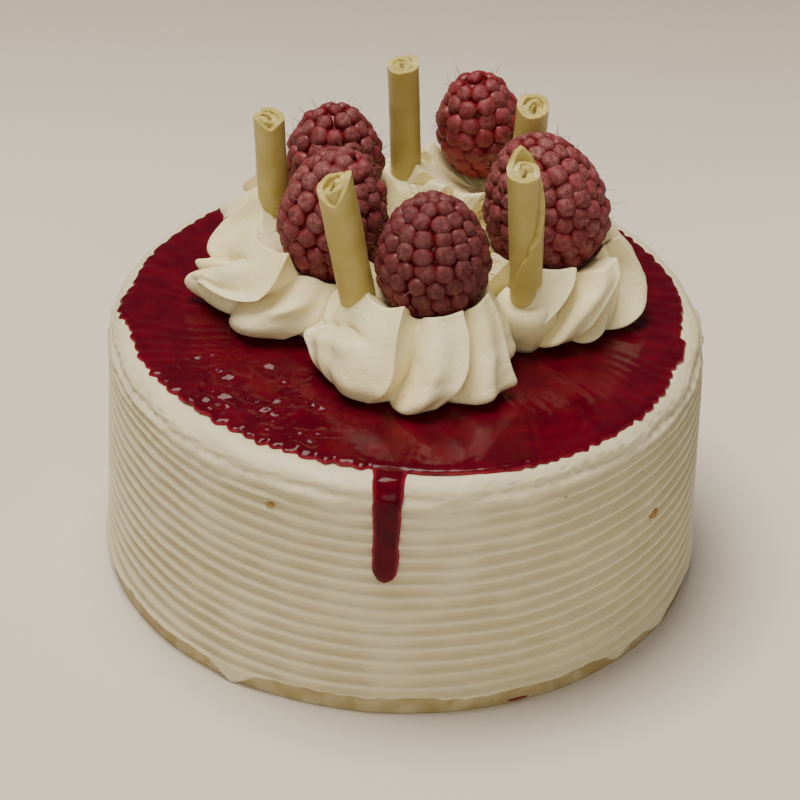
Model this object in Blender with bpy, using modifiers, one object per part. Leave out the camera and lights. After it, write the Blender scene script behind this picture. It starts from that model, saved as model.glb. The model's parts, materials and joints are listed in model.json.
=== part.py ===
"""Small round cake with combed cream sides, raspberry glaze and a ring of toppings.

One closed solid for each visible piece: the cream coated cake, the glaze with
its drip, five piped rosettes, five raspberries and five white chocolate curls.
Sizes are in millimetres and turned to metres as each mesh is made.
The front of the cake faces -Y and it stands on Z = 0.
"""
import math
import random

import bmesh
import bpy
from mathutils import Matrix, Vector

MM = 0.001
COLLECTION = "raspberry_cake"
CUTTERS = "cutters"
GAP = 0.3                      # clearance between neighbouring pieces

# cream coated cake
SIDE_R = 62.2                  # crest of the comb ribs
TOP_Z = 56.0                   # flat cream under the glaze
RIM_R = 5.0                    # rounding of the top rim
BASE_BAND = 3.6                # plain band at the foot
BAND_INSET = 0.9
RIB_COUNT = 14
RIB_LOW = 4.6
RIB_HIGH = 50.0
RIB_DEPTH = 0.85
RIB_RISE = 3.6                 # the comb lines climb towards both sides
LEAN = 0.6                     # the top stands a little to the right
BODY_STEPS = 40

# glaze
GLAZE_EDGE = 57.3
GLAZE_THICK = 0.95
GLAZE_RIDGES = 90
RIDGE_RELIEF = 0.18
RIDGE_SWIRL = 0.10
DRIP_ANGLE = -3.0
DRIP_END = 34.0                # height of the last station of the drip

# rosettes stand on the glaze
DECK = TOP_Z + GAP + GLAZE_THICK + RIDGE_RELIEF + GAP
PETAL_COLUMNS = 6
BACK_PETAL_COLUMNS = 4         # the two rosettes at the back are mostly hidden
PETAL_BOW = 1.5                # 1 gives a sharp ridge, 2 a round one
LEVELS = (0.0, 0.14, 0.36, 0.59, 0.80, 1.0)
BERRY_PUSH = 1.5               # cream stays this far off a berry
LAYER_PRESS = 3.4              # lower cream is pressed this much further down

# berries and curls
BERRY_COLUMNS = 24
BERRY_ROWS = 11
DRUPELET_RELIEF = 1.2
CURL_SHEET = 0.95
CURL_TURNS = 1.45
CURL_STEPS = 20

# each petal: angle at the foot, at mid height and at the tip, its reach,
# the share of that reach that is left at the tip, and any extra height of the tip.
# A rosette with more hold than 1 keeps more of the ground shared with a neighbour.
ROSETTES = {
    "rosette_front": {
        "foot": (1.2, -19.3), "crown": (4.2, -16.0), "reach": 21.2, "height": 17.6,
        "petals": [(-112, -101, -99, 0.95, 0.58, 2.6), (-74, -56, -38, 0.93, 0.58),
                   (-26, -31, -15, 1.02, 0.62), (12, 20, 36, 0.95, 0.58),
                   (55, 68, 90, 0.95, 0.5), (100, 115, 137, 0.95, 0.5),
                   (148, 160, 176, 0.95, 0.72), (214, 199, 210, 1.18, 0.66)],
    },
    "rosette_left": {
        "foot": (-24.5, 4.2), "crown": (-20.0, 4.0), "reach": 19.8, "height": 17.5,
        "petals": [(136, 152, 170, 1.02, 0.78), (180, 190, 219, 1.10, 0.66),
                   (226, 246, 268, 0.94, 0.56), (268, 290, 310, 0.96, 0.55),
                   (312, 335, 358, 1.0, 0.5), (356, 380, 403, 1.0, 0.5),
                   (400, 425, 448, 1.0, 0.5), (446, 468, 488, 1.0, 0.55)],
    },
    "rosette_right": {
        "foot": (28.5, 7.5), "crown": (29.5, 8.0), "reach": 20.3, "height": 17.4,
        "hold": 1.3,
        "petals": [(-124, -107, -86, 1.18, 0.73), (-92, -76, -58, 1.0, 0.66),
                   (-66, -47, -28, 1.08, 0.68), (-30, -12, 8, 1.03, 0.62),
                   (12, 35, 56, 1.0, 0.58), (57, 80, 101, 1.0, 0.5),
                   (102, 125, 147, 1.0, 0.5), (148, 172, 196, 1.0, 0.5),
                   (194, 215, 237, 1.0, 0.5)],
    },
    "rosette_back_left": {
        "foot": (-18.5, 27.2), "crown": (-16.4, 26.0), "reach": 20.2, "height": 17.0,
        "petals": [(152, 170, 192, 1.06, 0.78), (120, 142, 162, 1.08, 0.80),
                   (78, 102, 124, 1.0, 0.6), (35, 60, 84, 1.0, 0.55),
                   (-10, 15, 38, 1.0, 0.5), (-55, -30, -7, 1.0, 0.5),
                   (-100, -75, -53, 1.0, 0.5), (-152, -125, -103, 1.0, 0.6)],
    },
    "rosette_back_right": {
        "foot": (15.5, 32.0), "crown": (14.5, 34.5), "reach": 19.8, "height": 17.0,
        "petals": [(160, 182, 206, 1.0, 0.55), (116, 138, 161, 1.0, 0.5),
                   (72, 95, 118, 1.0, 0.5), (28, 50, 74, 1.0, 0.55),
                   (-17, 5, 28, 1.0, 0.6), (-62, -40, -17, 1.0, 0.6),
                   (-106, -85, -61, 1.0, 0.6), (-152, -130, -106, 1.0, 0.6)],
    },
}

# centre, half width, half length, lean of the tip as a slope in X and Y
BERRIES = {
    "raspberry_front": ((5.2, -15.2, 81.6), 12.3, 14.4, (0.0, 0.0)),
    "raspberry_left": ((-15.2, 1.0, 81.1), 12.1, 15.2, (0.08, 0.0)),
    "raspberry_back_left": ((-15.7, 24.6, 79.5), 10.9, 13.6, (0.0, 0.0)),
    "raspberry_back_right": ((14.7, 38.6, 80.8), 9.9, 12.6, (-0.14, 0.0)),
    "raspberry_right": ((28.0, 8.0, 80.6), 13.6, 16.0, (-0.26, 0.0)),
}

# foot and top of each curl, its radius, and how its top is broken: rise and direction
CURLS = {
    "curl_left": ((-27.2, 14.0, 64.0), (-29.6, 14.0, 95.9), 3.9, (1.2, 200)),
    "curl_front_left": ((-7.8, -15.6, 64.0), (-15.5, -15.6, 99.3), 4.15, (2.2, 20)),
    "curl_back": ((-0.4, 33.0, 64.0), (-2.2, 32.6, 98.4), 3.8, (0.8, 90)),
    "curl_right": ((23.4, 25.4, 64.0), (25.7, 25.4, 93.8), 4.1, (0.9, 140)),
    "curl_front_right": ((24.5, -10.0, 67.2), (23.3, -9.8, 99.2), 4.05, (4.4, 100)),
}


def new_collection(name):
    """Make a collection in the scene."""
    group = bpy.data.collections.new(name)
    bpy.context.scene.collection.children.link(group)
    return group


def material(name, colour, rough):
    """Plain Principled material with a linear colour."""
    mat = bpy.data.materials.new(name)
    mat.use_nodes = True
    shader = mat.node_tree.nodes["Principled BSDF"]
    shader.inputs["Base Color"].default_value = (*colour, 1.0)
    shader.inputs["Roughness"].default_value = rough
    return mat


def add_object(name, mesh, group, mat=None):
    """Link a mesh as a named object."""
    obj = bpy.data.objects.new(name, mesh)
    group.objects.link(obj)
    if mat:
        mesh.materials.clear()
        mesh.materials.append(mat)
    return obj


def ring_mesh(name, rings, low_point, high_point):
    """Closed skin through rings of equal count, first ring lowest, fans at the ends."""
    mesh = bpy.data.meshes.new(name)
    bm = bmesh.new()
    rows = [[bm.verts.new(Vector(p) * MM) for p in ring] for ring in rings]
    count = len(rows[0])
    low = bm.verts.new(Vector(low_point) * MM)
    high = bm.verts.new(Vector(high_point) * MM)
    for i in range(count):
        j = (i + 1) % count
        bm.faces.new((low, rows[0][j], rows[0][i]))
        bm.faces.new((high, rows[-1][i], rows[-1][j]))
        for lower, upper in zip(rows, rows[1:]):
            bm.faces.new((lower[i], lower[j], upper[j], upper[i]))
    bm.normal_update()
    bm.to_mesh(mesh)
    bm.free()
    return mesh


def evaluated_mesh(obj, name):
    """Mesh of an object with its modifiers applied."""
    bpy.context.view_layer.update()
    graph = bpy.context.evaluated_depsgraph_get()
    mesh = bpy.data.meshes.new_from_object(obj.evaluated_get(graph), depsgraph=graph)
    mesh.name = name
    return mesh


def boolean(obj, other, operation):
    """Exact boolean kept as a live modifier."""
    mod = obj.modifiers.new(operation.lower(), "BOOLEAN")
    mod.operation = operation
    mod.solver = "EXACT"
    mod.object = other
    return mod


def smooth(low, high, value):
    """Smooth step from 0 at low to 1 at high."""
    t = min(1.0, max(0.0, (value - low) / (high - low)))
    return t * t * (3.0 - 2.0 * t)


# Cream coated cake

def side_profile():
    """Radius and height from the top centre down the outer side to the foot."""
    rim_x = SIDE_R - RIM_R
    points = [(0.0, TOP_Z), (30.0, TOP_Z), (rim_x - 1.0, TOP_Z), (rim_x + 0.3, TOP_Z + 0.25)]
    for step in range(1, 5):
        a = math.radians(90.0 - 90.0 * step / 4.6)
        points.append((rim_x + RIM_R * math.cos(a), TOP_Z - RIM_R + (RIM_R + 0.25) * math.sin(a)))
    pitch = (RIB_HIGH - RIB_LOW) / RIB_COUNT
    for rib in range(RIB_COUNT):
        top = RIB_HIGH - rib * pitch
        points.append((SIDE_R - RIB_DEPTH, top))
        points.append((SIDE_R - 0.05, top - 0.30 * pitch))
        points.append((SIDE_R - 0.05, top - 0.68 * pitch))
    points.append((SIDE_R - 0.35, RIB_LOW))
    points.append((SIDE_R - BAND_INSET, BASE_BAND))
    points.append((SIDE_R - BAND_INSET, 0.0))
    points.append((0.0, 0.0))
    return points


def comb_rise(theta):
    """How far the comb lines stand above their height at the front."""
    return RIB_RISE * math.sin(theta) ** 2 + 0.35 * math.sin(3.0 * theta + 0.8)


def side_bulge(theta, z):
    """Hand-spread unevenness of the side."""
    wave = 0.38 * math.sin(2.0 * theta + 0.9) + 0.22 * math.sin(3.0 * theta - 1.1 + 0.02 * z)
    lean_in = 0.4 * smooth(40.0, 56.0, z) * math.sin(theta - 2.2)
    return wave * smooth(0.0, 12.0, z) + lean_in


def uneven_side(point):
    """Move one point of the turned cake to its place on the real one."""
    r = math.hypot(point.x, point.y)
    if r < 1e-6:
        return point
    theta = math.atan2(point.x, -point.y)
    z = point.z
    share = smooth(20.0, SIDE_R - 4.0, r)
    fade = smooth(1.0, 12.0, z) * (1.0 - smooth(46.0, 54.5, z))
    new_z = z + comb_rise(theta) * fade * share
    new_r = r + side_bulge(theta, z) * share
    shift = LEAN * z / TOP_Z
    return Vector((new_r * math.sin(theta) + shift, -new_r * math.cos(theta), new_z))


def build_body(group, mat):
    """Turn the profile, then give the coat its unevenness."""
    mesh = bpy.data.meshes.new("profile")
    points = side_profile()
    mesh.from_pydata([(r * MM, 0.0, z * MM) for r, z in points],
                     [(i, i + 1) for i in range(len(points) - 1)], [])
    profile = add_object("profile", mesh, group)
    screw = profile.modifiers.new("screw", "SCREW")
    screw.axis = "Z"
    screw.steps = BODY_STEPS
    screw.render_steps = BODY_STEPS
    screw.use_merge_vertices = True
    screw.merge_threshold = 0.00001
    turned = evaluated_mesh(profile, "cake_body")
    bpy.data.objects.remove(profile, do_unlink=True)
    for vertex in turned.vertices:
        vertex.co = uneven_side(vertex.co / MM) * MM
    return add_object("cake_body", turned, group, mat)


# Glaze and drip

def glaze_edge(theta, draw):
    """Radius of the glaze at one ridge end or notch."""
    deep = 0.45 + 0.35 * smooth(-1.9, -0.6, theta) * (1.0 - smooth(-0.2, 0.3, theta))
    wave = 0.35 * math.sin(3.0 * theta + 0.5) + 0.25 * math.sin(7.0 * theta + 2.0)
    return GLAZE_EDGE + wave + draw * deep


def on_top(radius, theta, height):
    """Point of the glaze; theta runs from the front and the top stands off centre."""
    return (radius * math.sin(theta) + LEAN, -radius * math.cos(theta), height)


def glaze_rings():
    """Rings of the glaze from its underside round the edge to the middle."""
    draws = random.Random(11)
    count = 2 * GLAZE_RIDGES
    under, edge, shoulder, middle, inner = [], [], [], [], []
    low = TOP_Z + GAP
    top = low + GLAZE_THICK
    for i in range(count):
        theta = 2.0 * math.pi * i / count
        signed = theta if theta < math.pi else theta - 2.0 * math.pi
        side = 1.0 if i % 2 else -1.0
        r = glaze_edge(signed, side * draws.uniform(0.3, 1.0))
        bump = side * RIDGE_RELIEF
        under.append(on_top(r - 0.35, theta, low))
        edge.append(on_top(r, theta, low + 0.35))
        shoulder.append(on_top(r - 0.75, theta, top - 0.15 + 0.5 * bump))
        middle.append(on_top(42.0, theta + RIDGE_SWIRL, top + bump))
        inner.append(on_top(22.0, theta + 2.2 * RIDGE_SWIRL, top + 0.4 * bump))
    return [under, edge, shoulder, middle, inner]


def drip_path():
    """Stations down the drip: radius, height, outward slope, half width, thickness."""
    side = SIDE_R + GAP + 0.55
    return [
        (54.5, 56.75, 90.0, 3.4, 0.8),
        (57.2, 57.05, 88.0, 3.2, 1.1),
        (59.8, 56.80, 66.0, 2.7, 1.2),
        (62.2, 55.10, 38.0, 2.5, 1.2),
        (side + 0.20, 52.0, 12.0, 2.6, 1.2),
        (side + 0.20, 48.0, 0.0, 2.5, 1.2),
        (side + 0.15, DRIP_END + 8.0, 0.0, 2.7, 1.25),
        (side + 0.20, DRIP_END + 3.6, 0.0, 2.9, 1.4),
        (side + 0.20, DRIP_END + 1.2, -4.0, 2.4, 1.35),
        (side + 0.05, DRIP_END, -8.0, 1.4, 0.9),
    ]


def drip_mesh(name):
    """Lens shaped strip swept over the rim and down the front."""
    rings = []
    base = math.radians(DRIP_ANGLE)
    for r, z, slope, half, thick in drip_path():
        a = math.radians(slope)
        out = (math.cos(a), math.sin(a))
        ring = []
        for step in range(8):
            b = 2.0 * math.pi * step / 8.0
            across = half * math.cos(b)
            lift = 0.5 * thick * math.sin(b)
            rr = r + lift * out[0]
            zz = z + lift * out[1]
            theta = base + across / rr
            shift = LEAN * zz / TOP_Z
            ring.append((rr * math.sin(theta) + shift, -rr * math.cos(theta), zz))
        rings.append(ring)
    rings.reverse()
    low = [sum(p[k] for p in rings[0]) / 8.0 for k in range(3)]
    high = [sum(p[k] for p in rings[-1]) / 8.0 for k in range(3)]
    low[2] -= 0.3
    mesh = ring_mesh(name, rings, low, high)
    face_outward(mesh)
    return mesh


def face_outward(mesh):
    """Turn every face outward."""
    bm = bmesh.new()
    bm.from_mesh(mesh)
    bmesh.ops.recalc_face_normals(bm, faces=bm.faces)
    bm.to_mesh(mesh)
    bm.free()


def build_glaze(group, cutters, mat):
    """Glaze disc with ridges and a scalloped edge, joined to the drip."""
    low = TOP_Z + GAP
    mesh = ring_mesh("raspberry_glaze", glaze_rings(), (LEAN, 0.0, low),
                     (LEAN, 0.0, low + GLAZE_THICK))
    obj = add_object("raspberry_glaze", mesh, group, mat)
    drip = add_object("drip", drip_mesh("drip"), cutters)
    boolean(obj, drip, "UNION")
    return obj


# Piped rosettes

def crest_angle(petal, t):
    """Angle of a petal crest at height share t, through foot, middle and tip."""
    foot, mid, tip = petal[:3]
    if t < 0.4:
        s = t / 0.4
        return math.radians(foot + (mid - foot) * s * (1.6 - 0.6 * s))
    s = (t - 0.4) / 0.6
    return math.radians(mid + (tip - mid) * s * (0.7 + 0.3 * s))


def crest_share(t, top):
    """Reach of a crest from foot to tip as a share of its full reach."""
    if t < 0.3:
        return 0.88 + 0.12 * math.sin(0.5 * math.pi * t / 0.3)
    s = (t - 0.3) / 0.7
    return 1.0 - (1.0 - top) * s ** 1.7


def valley_share(t):
    """Radius of the creases as a share of the crest."""
    return 0.86 - 0.20 * smooth(0.0, 0.35, t) + 0.10 * smooth(0.4, 1.0, t)


def berry_frame(berry):
    """Centre, turn and half sizes of a berry."""
    centre, width, length, lean = berry
    axis = Vector((lean[0], lean[1], 1.0)).normalized()
    turn = Vector((0.0, 0.0, 1.0)).rotation_difference(axis).to_matrix()
    return Vector(centre), turn, width, length


def underside(x, y, berry, margin):
    """Height of the lower surface of a berry above a point, or None beside it."""
    centre, turn, width, length = berry_frame(berry)
    back = turn.transposed()
    sizes = (width + margin, width + margin, length + margin)
    start = back @ Vector((x - centre.x, y - centre.y, 0.0))
    rise = back @ Vector((0.0, 0.0, 1.0))
    p = [start[k] / sizes[k] for k in range(3)]
    d = [rise[k] / sizes[k] for k in range(3)]
    square = sum(v * v for v in d)
    cross = sum(u * v for u, v in zip(p, d))
    inside = cross * cross - square * (sum(v * v for v in p) - 1.0)
    if inside <= 0.0:
        return None
    return centre.z + (-cross - math.sqrt(inside)) / square


def keep_side(point, own, other):
    """Hold a point on its own side of the plane between two rosettes."""
    a = Vector((own["foot"][0], own["foot"][1], 0.0))
    b = Vector((other["foot"][0], other["foot"][1], 0.0))
    share = own.get("hold", 1.0) / (own.get("hold", 1.0) + other.get("hold", 1.0))
    normal = (b - a).normalized()
    over = (point - a.lerp(b, share)).dot(normal) + 0.5 * GAP
    return point - normal * over if over > 0.0 else point


def rosette_rings(spec, columns, levels):
    """Rings of a piped rosette from its foot to the crown."""
    petals = sorted(spec["petals"], key=lambda petal: petal[1] % 360.0)
    petals = [unwrap_petal(petal, petals[0][1] % 360.0) for petal in petals]
    petals.sort(key=lambda petal: petal[1])
    rings = []
    for t in levels:
        angles = [crest_angle(petal, t) for petal in petals]
        ring = []
        for k, petal in enumerate(petals):
            before = angles[k - 1]
            if k == 0:
                before -= 2.0 * math.pi
            after = angles[(k + 1) % len(petals)]
            if k == len(petals) - 1:
                after += 2.0 * math.pi
            start = 0.5 * (before + angles[k])
            end = 0.5 * (after + angles[k])
            reach = spec["reach"] * petal[3] * crest_share(t, petal[4])
            for column in range(columns):
                u = column / columns
                if u < 0.5:
                    a = start + (angles[k] - start) * 2.0 * u
                    other = petals[k - 1]
                else:
                    a = angles[k] + (end - angles[k]) * (2.0 * u - 1.0)
                    other = petals[(k + 1) % len(petals)]
                beside = spec["reach"] * other[3] * crest_share(t, other[4])
                valley = 0.5 * (reach + beside) * valley_share(t)
                bow = 1.0 - abs(2.0 * u - 1.0) ** PETAL_BOW
                r = valley + (reach - valley) * bow
                cx = spec["foot"][0] + (spec["crown"][0] - spec["foot"][0]) * t
                cy = spec["foot"][1] + (spec["crown"][1] - spec["foot"][1]) * t
                peak = petal[5] * bow * bow if len(petal) > 5 else 0.0
                tip = ((bow - 0.5) * 1.6 + peak) * smooth(0.6, 1.0, t)
                z = DECK + spec["height"] * t + tip
                ring.append(Vector((cx + r * math.cos(a), cy + r * math.sin(a), z)))
        rings.append(ring)
    return rings


def unwrap_petal(petal, first):
    """Bring a petal's angles into one turn that starts at the first petal."""
    shift = 0.0
    while petal[1] + shift < first - 1e-6:
        shift += 360.0
    while petal[1] + shift >= first + 360.0 - 1e-6:
        shift -= 360.0
    return tuple(angle + shift for angle in petal[:3]) + petal[3:]


def settle(point, name, t=1.0):
    """Press a point of a rosette, at height share t, against what surrounds it."""
    own = ROSETTES[name]
    margin = BERRY_PUSH + LAYER_PRESS * (1.0 - t)
    for other, spec in ROSETTES.items():
        if other != name:
            point = keep_side(point, own, spec)
    for berry in BERRIES.values():
        limit = underside(point.x, point.y, berry, margin)
        if limit is not None:
            point.z = min(point.z, limit)
    point.z = max(point.z, DECK)
    return point


def build_rosette(name, group, mat):
    """One piped rosette, pressed against what surrounds it."""
    spec = ROSETTES[name]
    columns = BACK_PETAL_COLUMNS if name.startswith("rosette_back") else PETAL_COLUMNS
    rings = rosette_rings(spec, columns, LEVELS)
    rings = [[settle(point, name, t) for point in ring] for t, ring in zip(LEVELS, rings)]
    foot = (spec["foot"][0], spec["foot"][1], DECK)
    crown = Vector((spec["crown"][0], spec["crown"][1], DECK + 0.5 * spec["height"]))
    bowl = [(point + crown) * 0.5 for point in rings[-1]]
    rings.append([settle(point, name) for point in bowl])
    mesh = ring_mesh(name, rings, foot, settle(crown, name))
    return add_object(name, mesh, group, mat)


# Raspberries

def berry_outline(s, width, length):
    """Radius and height of the plain berry, s from 0 at the foot to 1 at the tip."""
    a = math.pi * s
    radius = width * math.sin(a) ** 0.86 * (0.97 + 0.15 * math.cos(a) - 0.08 * math.cos(a) ** 2)
    return radius, -length * math.cos(a)


def berry_rings(width, length, columns, rows):
    """Rings with a staggered bump for each drupelet."""
    rings = []
    for row in range(rows):
        s = (row + 0.75) / (rows + 0.5)
        radius, height = berry_outline(s, width - 0.8 * DRUPELET_RELIEF, length - DRUPELET_RELIEF)
        ring = []
        for column in range(columns):
            a = 2.0 * math.pi * column / columns
            raised = row % 2 == 1 and (column + row // 2) % 2 == 0
            lift = DRUPELET_RELIEF if raised else 0.0
            r = radius + lift * math.sin(math.pi * s)
            z = height - lift * math.cos(math.pi * s)
            ring.append((r * math.cos(a), r * math.sin(a), z))
        rings.append(ring)
    return rings


def build_berry(name, group, mat):
    """One raspberry placed with its own lean."""
    centre, turn, width, length = berry_frame(BERRIES[name])
    rings = berry_rings(width, length, BERRY_COLUMNS, BERRY_ROWS)
    low = (0.0, 0.0, -length + 1.4)
    high = (0.0, 0.0, length - 0.2)
    mesh = ring_mesh(name, rings, low, high)
    obj = add_object(name, mesh, group, mat)
    obj.matrix_world = Matrix.Translation(centre * MM) @ turn.to_4x4()
    return obj


# Chocolate curls

def scroll_outline(radius, turns, sheet, steps):
    """Closed outline of a rolled sheet, outer side first."""
    growth = (sheet + GAP + 0.1) / (2.0 * math.pi)
    total = 2.0 * math.pi * turns
    outer, inner = [], []
    for i in range(steps + 1):
        a = total * i / steps
        r = radius - growth * (total - a)
        outer.append((r * math.cos(a), r * math.sin(a)))
        inner.append(((r - sheet) * math.cos(a), (r - sheet) * math.sin(a)))
    return outer[::-1] + inner


def curl_axis(name):
    """Foot, top and unit direction of a curl."""
    foot, top, radius, _ = CURLS[name]
    foot = Vector(foot)
    top = Vector(top)
    return foot, top, (top - foot).normalized(), radius


def curl_mesh(name):
    """Rolled sheet stood up, with its top end broken at a slant."""
    foot, top, axis, radius = curl_axis(name)
    rise, toward = CURLS[name][3]
    length = (top - foot).length
    curve = bpy.data.curves.new(name, "CURVE")
    curve.dimensions = "2D"
    curve.fill_mode = "BOTH"
    curve.extrude = 0.5 * length * MM
    spline = curve.splines.new("POLY")
    outline = scroll_outline(radius, CURL_TURNS, CURL_SHEET, CURL_STEPS)
    spline.points.add(len(outline) - 1)
    for point, (x, y) in zip(spline.points, outline):
        point.co = (x * MM, y * MM, 0.0, 1.0)
    spline.use_cyclic_u = True
    holder = bpy.data.objects.new(name + "_outline", curve)
    bpy.context.scene.collection.objects.link(holder)
    mesh = evaluated_mesh(holder, name)
    bpy.data.objects.remove(holder, do_unlink=True)
    bpy.data.curves.remove(curve)
    way = Vector((math.cos(math.radians(toward)), math.sin(math.radians(toward))))
    bm = bmesh.new()
    bm.from_mesh(mesh)
    bmesh.ops.remove_doubles(bm, verts=bm.verts, dist=0.01 * MM)
    for vert in bm.verts:
        if vert.co.z > 0.0:
            side = (vert.co.x * way.x + vert.co.y * way.y) / (radius * MM)
            vert.co.z += rise * MM * (smooth(-1.0, 1.0, side) - 0.5)
    bmesh.ops.recalc_face_normals(bm, faces=bm.faces)
    bm.to_mesh(mesh)
    bm.free()
    return mesh


def build_curl(name, group, mat):
    """One white chocolate curl standing in the cream."""
    foot, top, axis, radius = curl_axis(name)
    obj = add_object(name, curl_mesh(name), group, mat)
    turn = Vector((0.0, 0.0, 1.0)).rotation_difference(axis).to_matrix().to_4x4()
    spin = Matrix.Rotation(math.radians(CURLS[name][3][1] + 140.0), 4, "Z")
    obj.matrix_world = Matrix.Translation((foot + top) * 0.5 * MM) @ turn @ spin
    return obj


def curl_socket(name, cutters):
    """Round cutter a gap wider than a curl."""
    foot, top, axis, radius = curl_axis(name)
    mesh = bpy.data.meshes.new(name + "_socket")
    bm = bmesh.new()
    length = (top - foot).length + 6.0
    wide = radius + GAP + 0.15
    bmesh.ops.create_cone(bm, cap_ends=True, segments=16, radius1=wide * MM,
                          radius2=wide * MM, depth=length * MM)
    bm.to_mesh(mesh)
    bm.free()
    obj = add_object(name + "_socket", mesh, cutters)
    turn = Vector((0.0, 0.0, 1.0)).rotation_difference(axis).to_matrix().to_4x4()
    middle = foot + axis * (0.5 * length - 0.6)
    obj.matrix_world = Matrix.Translation(middle * MM) @ turn
    return obj


def cut_sockets(rosettes, cutters):
    """Cut each rosette by the curls that stand in it."""
    for name in CURLS:
        socket = curl_socket(name, cutters)
        foot = curl_axis(name)[0]
        for rosette in rosettes:
            own = ROSETTES[rosette.name]
            away = math.hypot(foot.x - own["foot"][0], foot.y - own["foot"][1])
            if away < own["reach"] * 1.2 + 6.0:
                boolean(rosette, socket, "DIFFERENCE")


def main():
    """Build the cake."""
    for obj in list(bpy.data.objects):
        bpy.data.objects.remove(obj, do_unlink=True)
    group = new_collection(COLLECTION)
    cutters = new_collection(CUTTERS)
    cream = material("cream_coat", (0.76, 0.68, 0.52), 0.45)
    glaze = material("raspberry_glaze", (0.13, 0.004, 0.010), 0.12)
    piped = material("whipped_cream", (0.80, 0.73, 0.58), 0.5)
    berry = material("raspberry", (0.25, 0.03, 0.04), 0.6)
    curl = material("white_chocolate", (0.55, 0.43, 0.17), 0.4)
    build_body(group, cream)
    build_glaze(group, cutters, glaze)
    rosettes = [build_rosette(name, group, piped) for name in ROSETTES]
    for name in BERRIES:
        build_berry(name, group, berry)
    for name in CURLS:
        build_curl(name, group, curl)
    cut_sockets(rosettes, cutters)
    for obj in cutters.objects:
        obj.hide_render = True
        obj.display_type = "WIRE"


main()
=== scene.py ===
# %% [markdown]
# # A small raspberry cake
#
# The cake is a short drum of sponge under soft buttercream, drawn round with a
# toothed comb. A glossy raspberry glaze covers its top and has run down the front
# once. Five piped rosettes stand in a ring on the glaze. Each carries a frosted
# raspberry, and rolled curls of white chocolate stand between them.
#
# The solids of all these pieces come in as a fixed frame. This lesson gives each of
# them its fine shape and its finish, and never moves them.

# %% Load the solids
import json
import math
import random

import bmesh
import bpy
import numpy as np
from mathutils import Matrix, Vector

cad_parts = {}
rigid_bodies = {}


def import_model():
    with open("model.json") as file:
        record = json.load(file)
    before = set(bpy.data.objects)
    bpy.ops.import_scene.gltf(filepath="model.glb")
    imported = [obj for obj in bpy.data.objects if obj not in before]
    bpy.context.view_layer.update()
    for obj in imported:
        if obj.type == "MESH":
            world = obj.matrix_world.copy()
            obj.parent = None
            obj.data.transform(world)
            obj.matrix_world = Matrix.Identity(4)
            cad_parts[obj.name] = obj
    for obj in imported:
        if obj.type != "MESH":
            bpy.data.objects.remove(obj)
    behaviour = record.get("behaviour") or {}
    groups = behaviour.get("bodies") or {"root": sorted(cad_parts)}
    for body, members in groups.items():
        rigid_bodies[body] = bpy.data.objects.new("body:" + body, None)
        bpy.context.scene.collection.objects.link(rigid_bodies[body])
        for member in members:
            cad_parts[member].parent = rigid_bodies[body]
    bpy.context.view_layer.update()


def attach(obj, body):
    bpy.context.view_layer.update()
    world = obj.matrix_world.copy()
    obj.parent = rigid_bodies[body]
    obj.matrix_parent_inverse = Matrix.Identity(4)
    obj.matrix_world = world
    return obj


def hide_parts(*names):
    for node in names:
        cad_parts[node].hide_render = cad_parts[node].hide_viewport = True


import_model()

MM = 0.001

# %% [markdown]
# ## Helpers used by every step
#
# All sizes below are in millimetres, because that is how a baker's comb, a berry or
# a piping tip is measured. They turn into metres only when a mesh is made.
#
# A skin that closes on itself is easiest to make as rows of points, one row above
# the other, with a fan at each end. One helper does this for the coat, the glaze, the
# rosettes and the berries. Another rounds off the corners of such a skin.

# %% Mesh helpers
def skin_mesh(name, rows, low=None, high=None):
    """Skin through rows of points, lowest first and anticlockwise, with end fans."""
    rows = np.asarray(rows, float)
    count, columns = rows.shape[:2]
    points = [tuple(p) for p in rows.reshape(-1, 3) * MM]
    here = np.arange(columns)
    after = (here + 1) % columns
    faces = []
    for row in range(count - 1):
        a = row * columns
        b = a + columns
        faces += np.stack([a + here, a + after, b + after, b + here], 1).tolist()
    if low is not None:
        centre = len(points)
        points.append(tuple(np.asarray(low, float) * MM))
        faces += [(centre, int(j), int(i)) for i, j in zip(here, after)]
    if high is not None:
        centre = len(points)
        points.append(tuple(np.asarray(high, float) * MM))
        top = (count - 1) * columns
        faces += [(centre, int(top + i), int(top + j)) for i, j in zip(here, after)]
    mesh = bpy.data.meshes.new(name)
    mesh.from_pydata(points, [], faces)
    mesh.shade_smooth()
    return mesh


def soften_mesh(mesh, rounds):
    """Round off corners by letting each point move towards its neighbours."""
    bm = bmesh.new()
    bm.from_mesh(mesh)
    for _ in range(rounds):
        bmesh.ops.smooth_vert(bm, verts=bm.verts, factor=0.5,
                              use_axis_x=True, use_axis_y=True, use_axis_z=True)
    bm.to_mesh(mesh)
    bm.free()
    return mesh


def show(name, mesh, material=None):
    """Put a mesh in the scene as a named object at the origin."""
    obj = bpy.data.objects.new(name, mesh)
    bpy.context.scene.collection.objects.link(obj)
    if material:
        mesh.materials.clear()
        mesh.materials.append(material)
    return obj


def join(target, *others):
    """Join the meshes of other objects into the target."""
    pieces = [target, *others]
    with bpy.context.temp_override(active_object=target, selected_editable_objects=pieces):
        bpy.ops.object.join()


def point_values(mesh, name, values):
    """Store one number for each point of a mesh."""
    layer = mesh.attributes.new(name, "FLOAT", "POINT")
    layer.data.foreach_set("value", np.asarray(values, np.float32))


def smooth(low, high, value):
    """Smooth step from 0 at low to 1 at high."""
    t = np.clip((np.asarray(value, float) - low) / (high - low), 0.0, 1.0)
    return t * t * (3.0 - 2.0 * t)


def bell(value, middle, width):
    """Soft bump of height 1 at the middle."""
    return np.exp(-((value - middle) / width) ** 2)


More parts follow.
